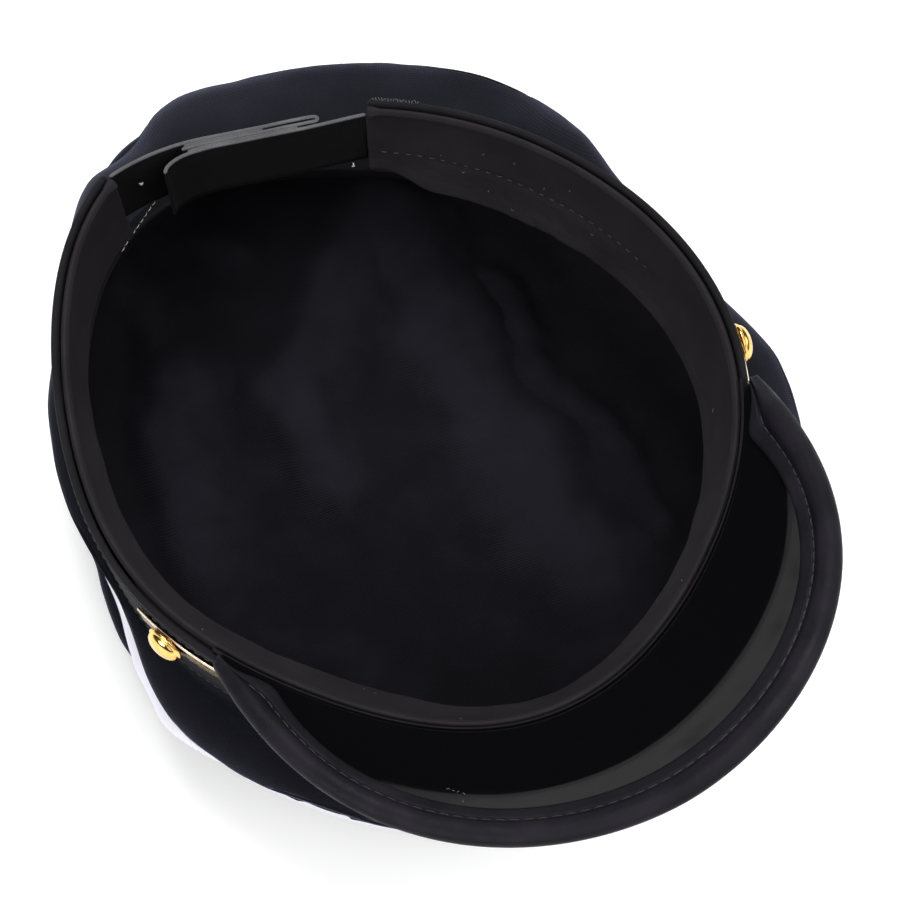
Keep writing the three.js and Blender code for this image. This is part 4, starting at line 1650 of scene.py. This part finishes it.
@dataclass
class Peak:
    """The glossy curved peak and the padded binding round its free edge."""

    sewn: Sewn
    finishes: Finishes
    half_angle: float = 65.2
    wall: float = 1.6
    root_out: float = 0.9
    root_lift: float = 0.6
    root_lag: float = 0.7
    lag_power: float = 6.0
    tip_half_width: float = 82.5
    tip_shift_x: float = 3.6
    tip_back_y: float = 42.2
    tip_reach: float = 97.6
    tip_fullness: float = 0.82
    tip_skew: float = 0.8
    tip_lift: float = 31.0
    tip_twist: float = 13.0
    side_power: float = 1.06
    lift_power: float = 0.6
    bow: float = 2.0
    bow_at: float = 0.55
    bow_soft: float = 0.25
    bow_width: float = 45.0
    least_reach: float = 1.5
    edge_inset: float = 1.4
    taper_from: float = 4.0
    taper_over: float = 13.0
    least_taper: float = 0.12
    least_thick: float = 0.7
    thick_over: float = 0.6
    last_station: float = 0.985
    edge_round: float = 0.3
    plate_run: float = 110.0
    binding_run: float = 130.0
    # the binding's face: how far outwards from the plate's edge, and how far off the plate
    binding_rows: Plan = (
        (-11.7, 1.25), (-11.4, 1.8), (-10.3, 2.2), (-8.6, 2.15), (-7.3, 1.95), (-6.55, 1.35),
        (-5.9, 1.7), (-4.6, 2.85), (-2.6, 3.3), (-0.4, 2.7), (1.2, 1.5), (1.9, 0.0),
        (1.3, -1.5), (-0.6, -2.6), (-3.0, -3.0), (-5.6, -2.6), (-6.6, -1.6), (-7.4, -2.0),
        (-9.2, -1.9), (-9.6, -1.3),
    )
    # where the roll and the sewn strip swell, and how wide
    roll_puff: tuple[float, float] = (-2.6, 4.2)
    strip_puff: tuple[float, float] = (-9.6, 1.7)
    binding_ripples: Ripples = ((0.28, 11.0, 41), (0.14, 4.0, 42))
    channel: float = 1.12
    channel_end: float = 0.4
    groove_out: float = -6.6
    groove_off: tuple[float, float] = (1.4, -1.65)
    groove_reach: float = 0.93
    flange_out: float = 0.05
    flange_wall: float = 0.5
    flange_inset: float = 1.2
    flange_drops: tuple[float, float] = (-1.1, 5.0)

    def stations(self, count: int) -> Array:
        """Stations from one end to the other, closer together towards the ends."""
        t = np.linspace(-1, 1, count)
        return self.last_station * (t + np.sin(t * math.pi / 2)) / 2

    def tip(self, s: Array) -> Array:
        """Points of the free edge, from -1 at one end to +1 at the other."""
        side, full = np.sin(s * math.pi / 2), np.cos(s * math.pi / 2)
        wide = np.sign(side) * np.abs(side) ** self.side_power
        reach = self.tip_reach * full**self.tip_fullness + self.tip_skew * side * full
        lift = self.tip_lift * full**self.lift_power + self.tip_twist * side * full
        x = self.tip_shift_x + self.tip_half_width * wide
        return np.stack([x, -(self.tip_back_y + reach), RIM.height + self.root_lift + lift], -1)

    def root(self, s: Array) -> Array:
        """Points of the edge that is sewn to the band."""
        full = np.cos(s * math.pi / 2) ** self.tip_fullness
        lag = self.root_lag * full * np.sign(s) * np.abs(s) ** self.lag_power
        flat = np.zeros_like(s)
        angles = (s - lag) * self.half_angle
        return RIM.beside(angles, flat + self.root_out, flat + self.root_lift)

    def rulings(self, s: Array) -> Rulings:
        """The peak's rulings at stations from -1 to 1."""
        step = 0.01
        root, tip = self.root(s), self.tip(s)
        width = np.linalg.norm(tip - root, axis=1)
        return Rulings(
            root,
            (tip - root) / width[:, None],
            self.root(s + step) - self.root(s - step),
            self.tip(s + step) - self.tip(s - step),
            width,
            np.maximum(width - self.edge_inset, self.least_reach),
        )

    def middle(self, lines: Rulings, share: Array) -> Array:
        """Points on the plate's middle surface.

        Args:
            lines: the rulings.
            share: shares of the way from root to edge, shaped (stations, rows) or (1, rows).

        Returns:
            Points shaped (stations, rows, 3).
        """
        share = np.broadcast_to(share, (len(lines.width), np.shape(share)[-1]))
        rise, fall = share / self.bow_at, (1 - share) / (1 - self.bow_at)
        bow = np.maximum((rise + fall - np.hypot(rise - fall, self.bow_soft)) / 2, 0)
        bow = bow * self.bow * np.clip(lines.width / self.bow_width, 0, 1)[:, None] ** 2
        out = (share * lines.reach[:, None])[..., None]
        straight = lines.root[:, None] + lines.outward[:, None] * out
        return straight - lines.face(share) * bow[..., None]

    def plate(self) -> Piece:
        """The polished plate, with rounded edges."""
        s = self.stations(220)
        lines = self.rulings(s)
        share = np.linspace(0, 1, 40)[None, :]
        middle = self.middle(lines, share)
        half = lines.face(share) * self.wall / 2
        upper, lower = middle + half, middle - half
        edge = middle[:, -1:] + lines.outward[:, None] * self.edge_round
        start = middle[:, :1] - lines.outward[:, None] * self.edge_round
        rings = np.concatenate([upper, edge, lower[:, ::-1], start], axis=1)
        across = share[0] * lines.reach[:, None]
        lengths = np.concatenate([across, across[:, -1:], across[:, ::-1], across[:, :1]], axis=1)
        return loft("peak_plate", rings, cut_lengths(s * self.plate_run, lengths), False)

    def sewn_edge(self) -> Piece:
        """The peak's sewn edge, turned down between the head band and the sweatband."""
        angles = open_angles(self.half_angle - self.flange_inset, 160)
        drop = np.linspace(*self.flange_drops, 8)[None, :]
        return hanging_wall("peak_sewn_edge", angles, self.flange_out, drop, self.flange_wall)

    def binding_surface(self, s: Array, out: Array, off: Array) -> tuple[Array, Array]:
        """Points of the binding from offsets at the plate's edge.

        Args:
            s: stations.
            out: distances outwards from the plate's edge, shaped (rows,).
            off: distances off the plate, shaped (rows,).

        Returns:
            Points and face directions, shaped (stations, rows, 3).
        """
        lines = self.rulings(s)
        taper = np.clip((lines.width - self.taper_from) / self.taper_over, 0, 1)
        taper = taper * taper * (3 - 2 * taper)
        taper = (self.least_taper + (1 - self.least_taper) * taper)[:, None]
        share = 1 + np.minimum(out, 0) * taper / lines.reach[:, None]
        face = lines.face(share)
        points = self.middle(lines, share)
        points = points + lines.outward[:, None] * np.maximum(out, 0)[None, :, None]
        slim = self.least_thick + (1 - self.least_thick) * np.clip(taper / self.thick_over, 0, 1)
        slim = np.where(np.abs(off) > self.channel, slim, 1.0)
        return points + face * (off * slim)[..., None], face

    def binding(self) -> Piece:
        """The padded roll round the free edge, with its stitched groove."""
        s = self.stations(420)
        rows = smooth_rows(np.array(self.binding_rows), 52)
        points, face = self.binding_surface(s, rows[:, 0], rows[:, 1])
        puffs = (self.roll_puff, self.strip_puff)
        roll, strip = (bump((rows[:, 0] - at) / over)[None, :] for at, over in puffs)
        side = np.where(rows[:, 1] >= 0, 1.0, -1.0)[None, :]
        push = ripples(points, self.binding_ripples) * (roll + 0.5 * strip) * side
        points = points + face * push[..., None]
        deepest = self.channel_end
        back = np.linspace(rows[-1, 0], deepest, 8)
        inner_low, _ = self.binding_surface(s, back, np.full(8, -self.channel))
        front = np.linspace(deepest, rows[0, 0], 8)
        inner_high, _ = self.binding_surface(s, front, np.full(8, self.channel))
        rings = np.concatenate([points, inner_low, inner_high], axis=1)
        cut = cut_lengths(s * self.binding_run, run_lengths(rings))
        return loft("peak_binding", rings, cut, False)

    def groove_sewing(self) -> Piece:
        """Stitches that sink into the binding's groove, on both faces."""
        thread = Thread(0.17, 2.6, 0.12, 0.9)
        s = np.linspace(-self.groove_reach, self.groove_reach, 900)
        rows = []
        for off in self.groove_off:
            points, face = self.binding_surface(s, np.array([self.groove_out]), np.array([off]))
            away = face[:, 0] * math.copysign(1.0, off)
            rows.append(stitch_row(points[:, 0], away, thread))
        return stitched_rows("binding_stitching", rows, thread)

    def build(self) -> None:
        """Makes the plate, its binding and the stitching."""
        self.sewn.attach(self.plate(), self.finishes.gloss, Slot.GLOSS, "visor")
        self.sewn.attach(self.sewn_edge(), self.finishes.black, Slot.BLACK)
        leatherette = self.finishes.leatherette
        binding = self.sewn.attach(self.binding(), leatherette, Slot.LEATHERETTE, "visor_binding")
        self.sewn.attach(self.groove_sewing(), self.finishes.dark_thread, Slot.LEATHERETTE)


# ------------ Chin strap, buttons and adjuster straps ------------


@dataclass
class ChinStrap:
    """The gold braid across the front and the dome buttons at its ends."""

    sewn: Sewn
    finishes: Finishes
    band: HeadBand
    wall: float = 0.7
    width: float = 11.0
    top_drop: float = 6.0
    half_angle: float = 79.0
    inset: float = 0.4
    plait: float = 3.2
    slant: float = 1.4
    relief: float = 0.14
    split_depth: float = 0.25
    split_width: float = 0.7
    strand_share: float = 0.8
    cord: float = 0.9
    ease: float = 0.45
    button_at: float = 72.4
    button_drop: float = 10.8
    button_radius: float = 5.8
    button_height: float = 4.0
    # how far in from the widest place, and how high
    button_rim: Plan = (
        (1.4, 0.0), (0.5, 0.05), (0.1, 0.3), (0.0, 0.75), (0.25, 1.15), (0.55, 1.25),
    )
    dome_inset: float = 0.6
    dome_foot: float = 1.3

    def braid(self) -> Piece:
        """The flat braid, plaited in two rows of slanting strands."""
        angles = open_angles(self.half_angle, 900)
        share = np.linspace(0, 1, 19)[None, :]
        drop = self.top_drop + self.inset + (self.width - 2 * self.inset) * share
        along = RIM.lengths(angles)[:, None]
        across = (share - 0.5) * self.width
        row = np.abs(np.abs(across) - self.width / 4)
        plait = np.abs(np.sin((along + row * self.slant) * math.pi / self.plait))
        edge = bump(np.abs(share * 2 - 1) ** 6)
        split = self.split_depth * bump(across / self.split_width)
        raised = self.relief * (plait**0.7 - 0.5) * edge - split
        out = self.band.band_out(drop) + self.ease + self.wall / 2 + raised / 2
        thick = (self.wall * self.strand_share + raised) * end_rounding(angles, self.wall)[:, None]
        return hanging_wall("chin_strap_braid", angles, out, drop, thick)

    def edge_cord_highlight(self) -> Piece:
        """The cord along the upper edge of the braid, in a much paler gold than the braid: a real
        cord, partly a painted highlight along that lit edge.
        """
        angles = open_angles(self.half_angle, 900)
        drop = self.top_drop + self.cord * np.linspace(0, 1, 7)[None, :]
        rounded = np.sqrt(1 - np.linspace(-0.95, 0.95, 7) ** 2)[None, :]
        thick = self.cord * rounded * end_rounding(angles, self.wall)[:, None]
        out = self.band.band_out(drop) + self.ease + self.cord / 2
        return hanging_wall("braid_cord_highlight", angles, out, drop, thick)

    def button(self, side: int, name: str) -> Piece:
        """A domed button with a rolled rim.

        Args:
            side: -1 or 1, the side of the cap.
            name: the piece's name.

        Returns:
            The button.
        """
        angle = np.array([side * self.button_at])
        out = self.band.band_out(self.button_drop) + self.ease * 2 + self.wall
        base = RIM.beside(angle, np.array([out]), np.array([-self.button_drop]))[0]
        axis = RIM.normals(angle)[0]
        across = np.cross(UPWARD, axis)
        r = self.button_radius
        rise = self.button_height - self.dome_foot
        rim = [(0.0, 0.0), *((r - in_by, high) for in_by, high in self.button_rim)]
        dome = [
            ((r - self.dome_inset) * math.cos(t), self.dome_foot + rise * math.sin(t))
            for t in np.linspace(0.06, math.pi / 2, 16)
        ]
        profile = np.array(rim + dome)
        turns = np.linspace(0, math.tau, 64, endpoint=False)
        ring = np.cos(turns)[:, None] * across + np.sin(turns)[:, None] * UPWARD
        rings = base + ring[:, None] * profile[None, :, :1] + axis * profile[None, :, 1:]
        cut = cut_lengths(np.append(turns, math.tau) * r, run_lengths(profile))
        return turned_body(name, rings, cut)

    def build(self) -> None:
        """Makes the braid, the cord on its upper edge and both buttons."""
        self.sewn.attach(self.braid(), self.finishes.braid, Slot.BRAID, "chin_strap")
        # The cord's paler gold is partly a painted highlight on the braid's upper edge.
        self.sewn.attach(self.edge_cord_highlight(), self.finishes.cord, Slot.BRAID)
        for side, word in ((-1, "left"), (1, "right")):
            button = self.button(side, f"dome_button_{word}")
            self.sewn.attach(button, self.finishes.metal, Slot.METAL, f"button_{word}")


@dataclass
class AdjusterStraps:
    """The hook-and-loop straps that bridge the gap at the back."""

    sewn: Sewn
    finishes: Finishes
    wall: float = 1.0
    width: float = 25.0
    top_drop: float = 0.8
    selvedge: float = 0.7
    # share of the way down a selvedge, and of the strap's thickness
    selvedge_rows: Plan = ((0.0, 0.5), (0.15, 0.95), (0.5, 1.1), (0.85, 0.95), (1.0, 0.6))
    # angle, and distance out of the rim
    left_plan: Plan = (
        (-154.3, 0.4), (-160, -1.9), (-167, -4.0), (-176, -5.7), (-184, -5.6), (-191, -4.3),
        (-195, -3.4), (-196.1, -3.7), (-195.9, -4.7), (-194.4, -5.2), (-190, -6.2),
        (-184, -7.2), (-176, -7.4), (-168, -6.2),
    )
    right_plan: Plan = (
        (154.3, -2.6), (160, -4.9), (166, -6.9), (172, -8.2), (180, -9.1), (188, -8.6),
        (193, -8.2), (196.5, -8.8), (198.2, -10.2),
    )
    # the hook and loop pile that fills the gaps between the layers
    pile: float = 0.7
    pile_drop: float = 1.0
    pile_inset: float = 1.4
    pile_plans: tuple[Plan, ...] = (
        ((-168.8, -5.4), (-172, -5.95), (-176, -6.55), (-181, -6.55), (-185, -6.25)),
        ((-168.8, -7.5), (-172, -7.8), (-176, -8.15), (-182, -8.1), (-188, -7.4), (-192, -6.5)),
    )

    def path(self, plan: Plan, count: int) -> Array:
        """Points along a strap's upper edge, on a smooth curve through its plan."""
        rows = smooth_rows(np.array(plan, float), count)
        return RIM.beside(rows[:, 0], rows[:, 1], np.full(count, -self.top_drop))

    def ribbon(self, name: str, path: Array, drops: Array, thick: Array | float) -> Piece:
        """A ribbon that stands on its edge along a path.

        Args:
            name: the piece's name.
            path: points of the upper edge.
            drops: drops below that edge of the ribbon's rows.
            thick: thickness everywhere, or at each row.

        Returns:
            The ribbon.
        """
        along = np.gradient(path, axis=0)
        along[:, 2] = 0
        side = np.stack([along[:, 1], -along[:, 0], along[:, 2]], -1)
        side /= np.linalg.norm(side, axis=1, keepdims=True)
        run = run_lengths(path)
        ends = np.clip(np.minimum(run, run[-1] - run) / (self.wall / 2), 0.05, 1)[:, None]
        half = (np.broadcast_to(thick, drops.shape) / 2 * np.sqrt(ends))[..., None]
        middle = path[:, None] - UPWARD * drops[None, :, None]
        face, back = middle + side[:, None] * half, middle - side[:, None] * half
        rings = np.concatenate([face, back[:, ::-1]], axis=1)
        cut = cut_lengths(run, np.concatenate([drops, drops[::-1]]))
        return loft(name, rings, cut, False)

    def webbing(self, word: str, plan: Plan) -> None:
        """Makes one strap: its black webbing, with a pale upper and a dark lower selvedge.

        Args:
            word: left or right.
            plan: rows of angle and distance out of the rim.
        """
        path = self.path(plan, 160)
        inner = np.linspace(self.selvedge, self.width - self.selvedge, 12)
        body = self.ribbon(f"adjuster_{word}_webbing", path, inner, self.wall)
        self.sewn.attach(body, self.finishes.webbing, Slot.WEBBING, f"adjuster_strap_{word}")
        edges = (
            ("upper", 0.0, self.finishes.selvedge),
            ("lower", self.width - self.selvedge, self.finishes.webbing),
        )
        for place, start, finish in edges:
            rows = np.array(self.selvedge_rows)
            drops, thick = start + self.selvedge * rows[:, 0], self.wall * rows[:, 1]
            edge = self.ribbon(f"adjuster_{word}_{place}_selvedge", path, drops, thick)
            self.sewn.attach(edge, finish, Slot.WEBBING)

    def build(self) -> None:
        """Makes both straps and the pile between their layers."""
        self.webbing("left", self.left_plan)
        self.webbing("right", self.right_plan)
        drops = self.pile_drop - self.top_drop + np.linspace(0, self.width - self.pile_inset, 14)
        for index, plan in enumerate(self.pile_plans, 1):
            path = self.path(plan, 90)
            pile = self.ribbon(f"adjuster_pile_{index}", path, drops, self.pile)
            self.sewn.attach(pile, self.finishes.selvedge, Slot.WEBBING)


# ------------ Loose threads ------------


@dataclass
class LooseThreads:
    """Hand stitches, bar tacks, lint and frayed ends."""

    sewn: Sewn
    finishes: Finishes
    band: HeadBand
    peak: Peak
    # angle, drop below the rim, distance out of it
    hand_line: tuple[tuple[float, float, float], ...] = (
        (-161.1, 25.2, -3.1), (-158.5, 27.4, -3.3), (-155.5, 29.0, -3.6), (-152.5, 29.5, -3.9),
        (-149.5, 29.6, -4.2),
    )
    # angle, drop, distance out, length, and how far it leans from upright in degrees
    tacks: tuple[tuple[float, float, float, float, float], ...] = (
        (-159.3, 12.2, -2.4, 1.5, 60),
        (-159.3, 12.8, -2.4, 1.2, 75),
        (157.3, 28.2, -4.3, 1.8, 12),
        (157.5, 28.5, -4.3, 1.3, -25),
    )
    # angle and drop on the sweatband
    lint: Plan = (
        (130.5, 11.0), (124.0, 10.5), (134.0, 20.0), (112.0, 10.5), (122.0, 27.0), (139.0, 15.5),
        (117.0, 15.0), (105.0, 21.0), (128.0, 24.0), (-38.0, 26.5), (-40.5, 27.2), (-70.0, 14.0),
        (-21.0, 18.0), (64.0, 20.0), (30.0, 12.0),
    )
    # where the peak's few specks lie: station, and share of the way to the edge
    specks: Plan = (
        (-0.42, 0.55), (-0.41, 0.56), (-0.4, 0.565), (-0.39, 0.58), (-0.4, 0.66),
    )
    lint_lift: float = 0.95
    frays: int = 16
    fray_out: float = 2.0
    fray_rise: float = 0.8
    half_lengths: tuple[float, float] = (0.25, 0.6)

    def hand_sewing(self) -> Piece:
        """The white hand stitches that tack the left strap to the sweatband."""
        rows = smooth_rows(np.array(self.hand_line), 80)
        line = RIM.beside(rows[:, 0], rows[:, 2], -rows[:, 1])
        thread = Thread(0.1, 1.5, 0.14, 0.35)
        row = stitch_row(line, -RIM.normals(rows[:, 0]), thread)
        return stitches("hand_stitching", *row, thread)

    def bar_tacks(self) -> Piece:
        """Short pale tacks near the straps' sewn ends."""
        rows = np.array(self.tacks)
        middle = RIM.beside(rows[:, 0], rows[:, 2], -rows[:, 1])
        inward = -RIM.normals(rows[:, 0])
        level = np.cross(inward, UPWARD)
        lean = np.radians(rows[:, 4])[:, None]
        half = (np.cos(lean) * UPWARD + np.sin(lean) * level) * rows[:, 3:4] / 2
        thread = Thread(0.17, 1.0, 0.2, sides=6)
        return stitches("bar_tacks", middle - half, middle + half, inward, thread)

    def fibres(self) -> Piece:
        """Lint on the sweatband and the peak, and the frayed end of the band."""
        rng = np.random.default_rng(7)
        angles, drops = np.array(self.lint).T
        out = self.band.sweat_middle(angles, drops[:, None])[:, 0] - self.lint_lift
        spots, away = [RIM.beside(angles, out, -drops)], [-RIM.normals(angles)]
        marks = np.array(self.specks)
        lines = self.peak.rulings(marks[:, 0])
        face = lines.face(marks[:, 1:])[:, 0]
        spots.append(self.peak.middle(lines, marks[:, 1:])[:, 0] + face)
        away.append(face)
        ends = np.linspace(self.band.reach - 9.5, self.band.reach - 1.0, self.frays)
        spots.append(RIM.beside(ends, np.full(self.frays, self.fray_out), np.zeros(self.frays)))
        away.append(RIM.normals(ends) + self.fray_rise * UPWARD)
        middle, normals = np.concatenate(spots), np.concatenate(away)
        way = rng.normal(size=middle.shape)
        way -= normals * (way * normals).sum(axis=1, keepdims=True)
        way /= np.linalg.norm(way, axis=1, keepdims=True)
        frayed = np.arange(len(middle)) >= len(middle) - self.frays
        way = np.where(frayed[:, None], way * 0.7 + normals * 0.6, way)
        half = way * rng.uniform(*self.half_lengths, (len(middle), 1))
        thread = Thread(0.075, 1.0, 0.2)
        return stitches("lint_fibres", middle - half, middle + half, normals, thread)

    def build(self) -> None:
        """Makes every loose thread."""
        pale = self.finishes.pale_thread
        self.sewn.attach(self.hand_sewing(), pale, Slot.WEBBING)
        self.sewn.attach(self.bar_tacks(), pale, Slot.WEBBING)
        self.sewn.attach(self.fibres(), self.finishes.lint, Slot.SWEAT)


# ------------ Studio ------------


@dataclass(frozen=True)
class SoftLight:
    """A wide far light that shines evenly on the cap and the floor.

    Attributes:
        azimuth, elevation: where it stands, seen from the cap.
        spread: how wide it looks, in degrees.
        power: how much light falls square on to a surface.
    """

    name: str
    azimuth: float
    elevation: float
    spread: float
    power: float
    colour: Colour = (1.0, 1.0, 1.0)


@dataclass
class Studio:
    """The floor, the lights and the camera."""

    target: tuple[float, float, float] = (4.0, -23.0, 76.0)
    azimuth: float = -29.3
    elevation: float = 68.0
    distance: float = 600.0
    lens: float = 89.15
    floor_half: float = 6000.0
    floor_gap: float = 0.1
    floor_cloud: float = 500.0
    floor_tones: tuple[Colour, Colour] = ((0.93, 0.93, 0.93), (0.95, 0.95, 0.95))
    floor_glow: float = 0.2
    soft_lights: tuple[SoftLight, ...] = (
        SoftLight("left light", -78.0, 42.0, 38.0, 1.75),
        SoftLight("right light", 62.0, 46.0, 40.0, 1.0),
        SoftLight("overhead light", 0.0, 84.0, 60.0, 0.65),
        SoftLight("back light", 152.0, 60.0, 34.0, 1.75),
        SoftLight("front light", 10.0, 38.0, 50.0, 0.55),
    )
    light_distance: float = 1000.0
    backdrop_top: float = 2.5
    backdrop_fade: float = 1.0
    backdrop_light: float = 1.15
    room_light: float = 0.04

    def place(self, obj: Piece, azimuth: float, elevation: float, distance: float) -> None:
        """Puts a camera or light in the scene, turned towards the target.

        Args:
            obj: the camera or light.
            azimuth: where it stands, seen from the target: degrees round from the front.
            elevation: degrees above the level.
            distance: how far away it stands, in millimetres.
        """
        a, e = math.radians(azimuth), math.radians(elevation)
        back = Vector((math.sin(a) * math.cos(e), -math.cos(a) * math.cos(e), math.sin(e)))
        obj.location = (Vector(self.target) + back * distance) * MM
        obj.rotation_mode = "QUATERNION"
        obj.rotation_quaternion = (-back).to_track_quat("-Z", "Y")
        bpy.context.scene.collection.objects.link(obj)

    def camera(self) -> None:
        """The camera, which looks down into the upturned cap."""
        data = bpy.data.cameras.new("camera")
        data.lens = self.lens
        data.sensor_width = 36.0
        data.clip_start, data.clip_end = 0.01, 50.0
        obj = bpy.data.objects.new("camera", data)
        self.place(obj, self.azimuth, self.elevation, self.distance)
        bpy.context.scene.camera = obj

    def floor(self) -> None:
        """A wide pale floor just under the crown."""
        h = self.floor_half
        level = -self.floor_gap
        corners = np.array([[-h, -h, level], [h, -h, level], [h, h, level], [-h, h, level]])
        floor = mesh_object("floor", corners, [[0, 1, 2, 3]])
        mix = Mix("pale floor")
        cloud = mix.level(mix.grain(self.floor_cloud, 3.0), 0.3, 0.7)
        mix.shade(
            Base_Color=mix.blend(cloud, *self.floor_tones),
            Roughness=0.9,
            Specular_IOR_Level=0.1,
            Emission_Color=(1.0, 1.0, 1.0, 1.0),
            Emission_Strength=self.floor_glow,
        )
        floor.data.materials.append(mix.material)

    def surroundings(self) -> None:
        """A white backdrop that rises a little above the floor, and a dim room over it."""
        world = bpy.data.worlds.new("studio")
        world.use_nodes = True
        tree = world.node_tree
        place = tree.nodes.new("ShaderNodeTexCoord")
        split = tree.nodes.new("ShaderNodeSeparateXYZ")
        fade = tree.nodes.new("ShaderNodeMapRange")
        tree.links.new(place.outputs["Generated"], split.inputs["Vector"])
        tree.links.new(split.outputs["Z"], fade.inputs["Value"])
        top = self.backdrop_top + self.backdrop_fade
        fade.inputs["From Min"].default_value = math.sin(math.radians(self.backdrop_top))
        fade.inputs["From Max"].default_value = math.sin(math.radians(top))
        fade.inputs["To Min"].default_value = self.backdrop_light
        fade.inputs["To Max"].default_value = self.room_light
        background = tree.nodes["Background"]
        background.inputs["Color"].default_value = (1.0, 1.0, 1.0, 1.0)
        tree.links.new(fade.outputs["Result"], background.inputs["Strength"])
        bpy.context.scene.world = world

    def lights(self) -> None:
        """The soft lights round the cap."""
        for light in self.soft_lights:
            data = bpy.data.lights.new(light.name, "SUN")
            data.energy = light.power
            data.angle = math.radians(light.spread)
            data.color = light.colour
            obj = bpy.data.objects.new(light.name, data)
            self.place(obj, light.azimuth, light.elevation, self.light_distance)

    def build(self) -> None:
        """Sets up the whole studio, and true colours without a film curve."""
        self.camera()
        self.floor()
        self.surroundings()
        self.lights()
        bpy.context.scene.view_settings.view_transform = "Standard"


def main() -> None:
    """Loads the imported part, then builds the studio and each sub-assembly in order."""
    logging.basicConfig(level=logging.INFO, format="%(message)s")
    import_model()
    Studio().build()
    sewn, finishes = Sewn(), Finishes()
    Crown(sewn, finishes).build()
    band = HeadBand(sewn, finishes)
    band.build()
    peak = Peak(sewn, finishes)
    peak.build()
    ChinStrap(sewn, finishes, band).build()
    AdjusterStraps(sewn, finishes).build()
    LooseThreads(sewn, finishes, band, peak).build()


if __name__ == "__main__":
    main()
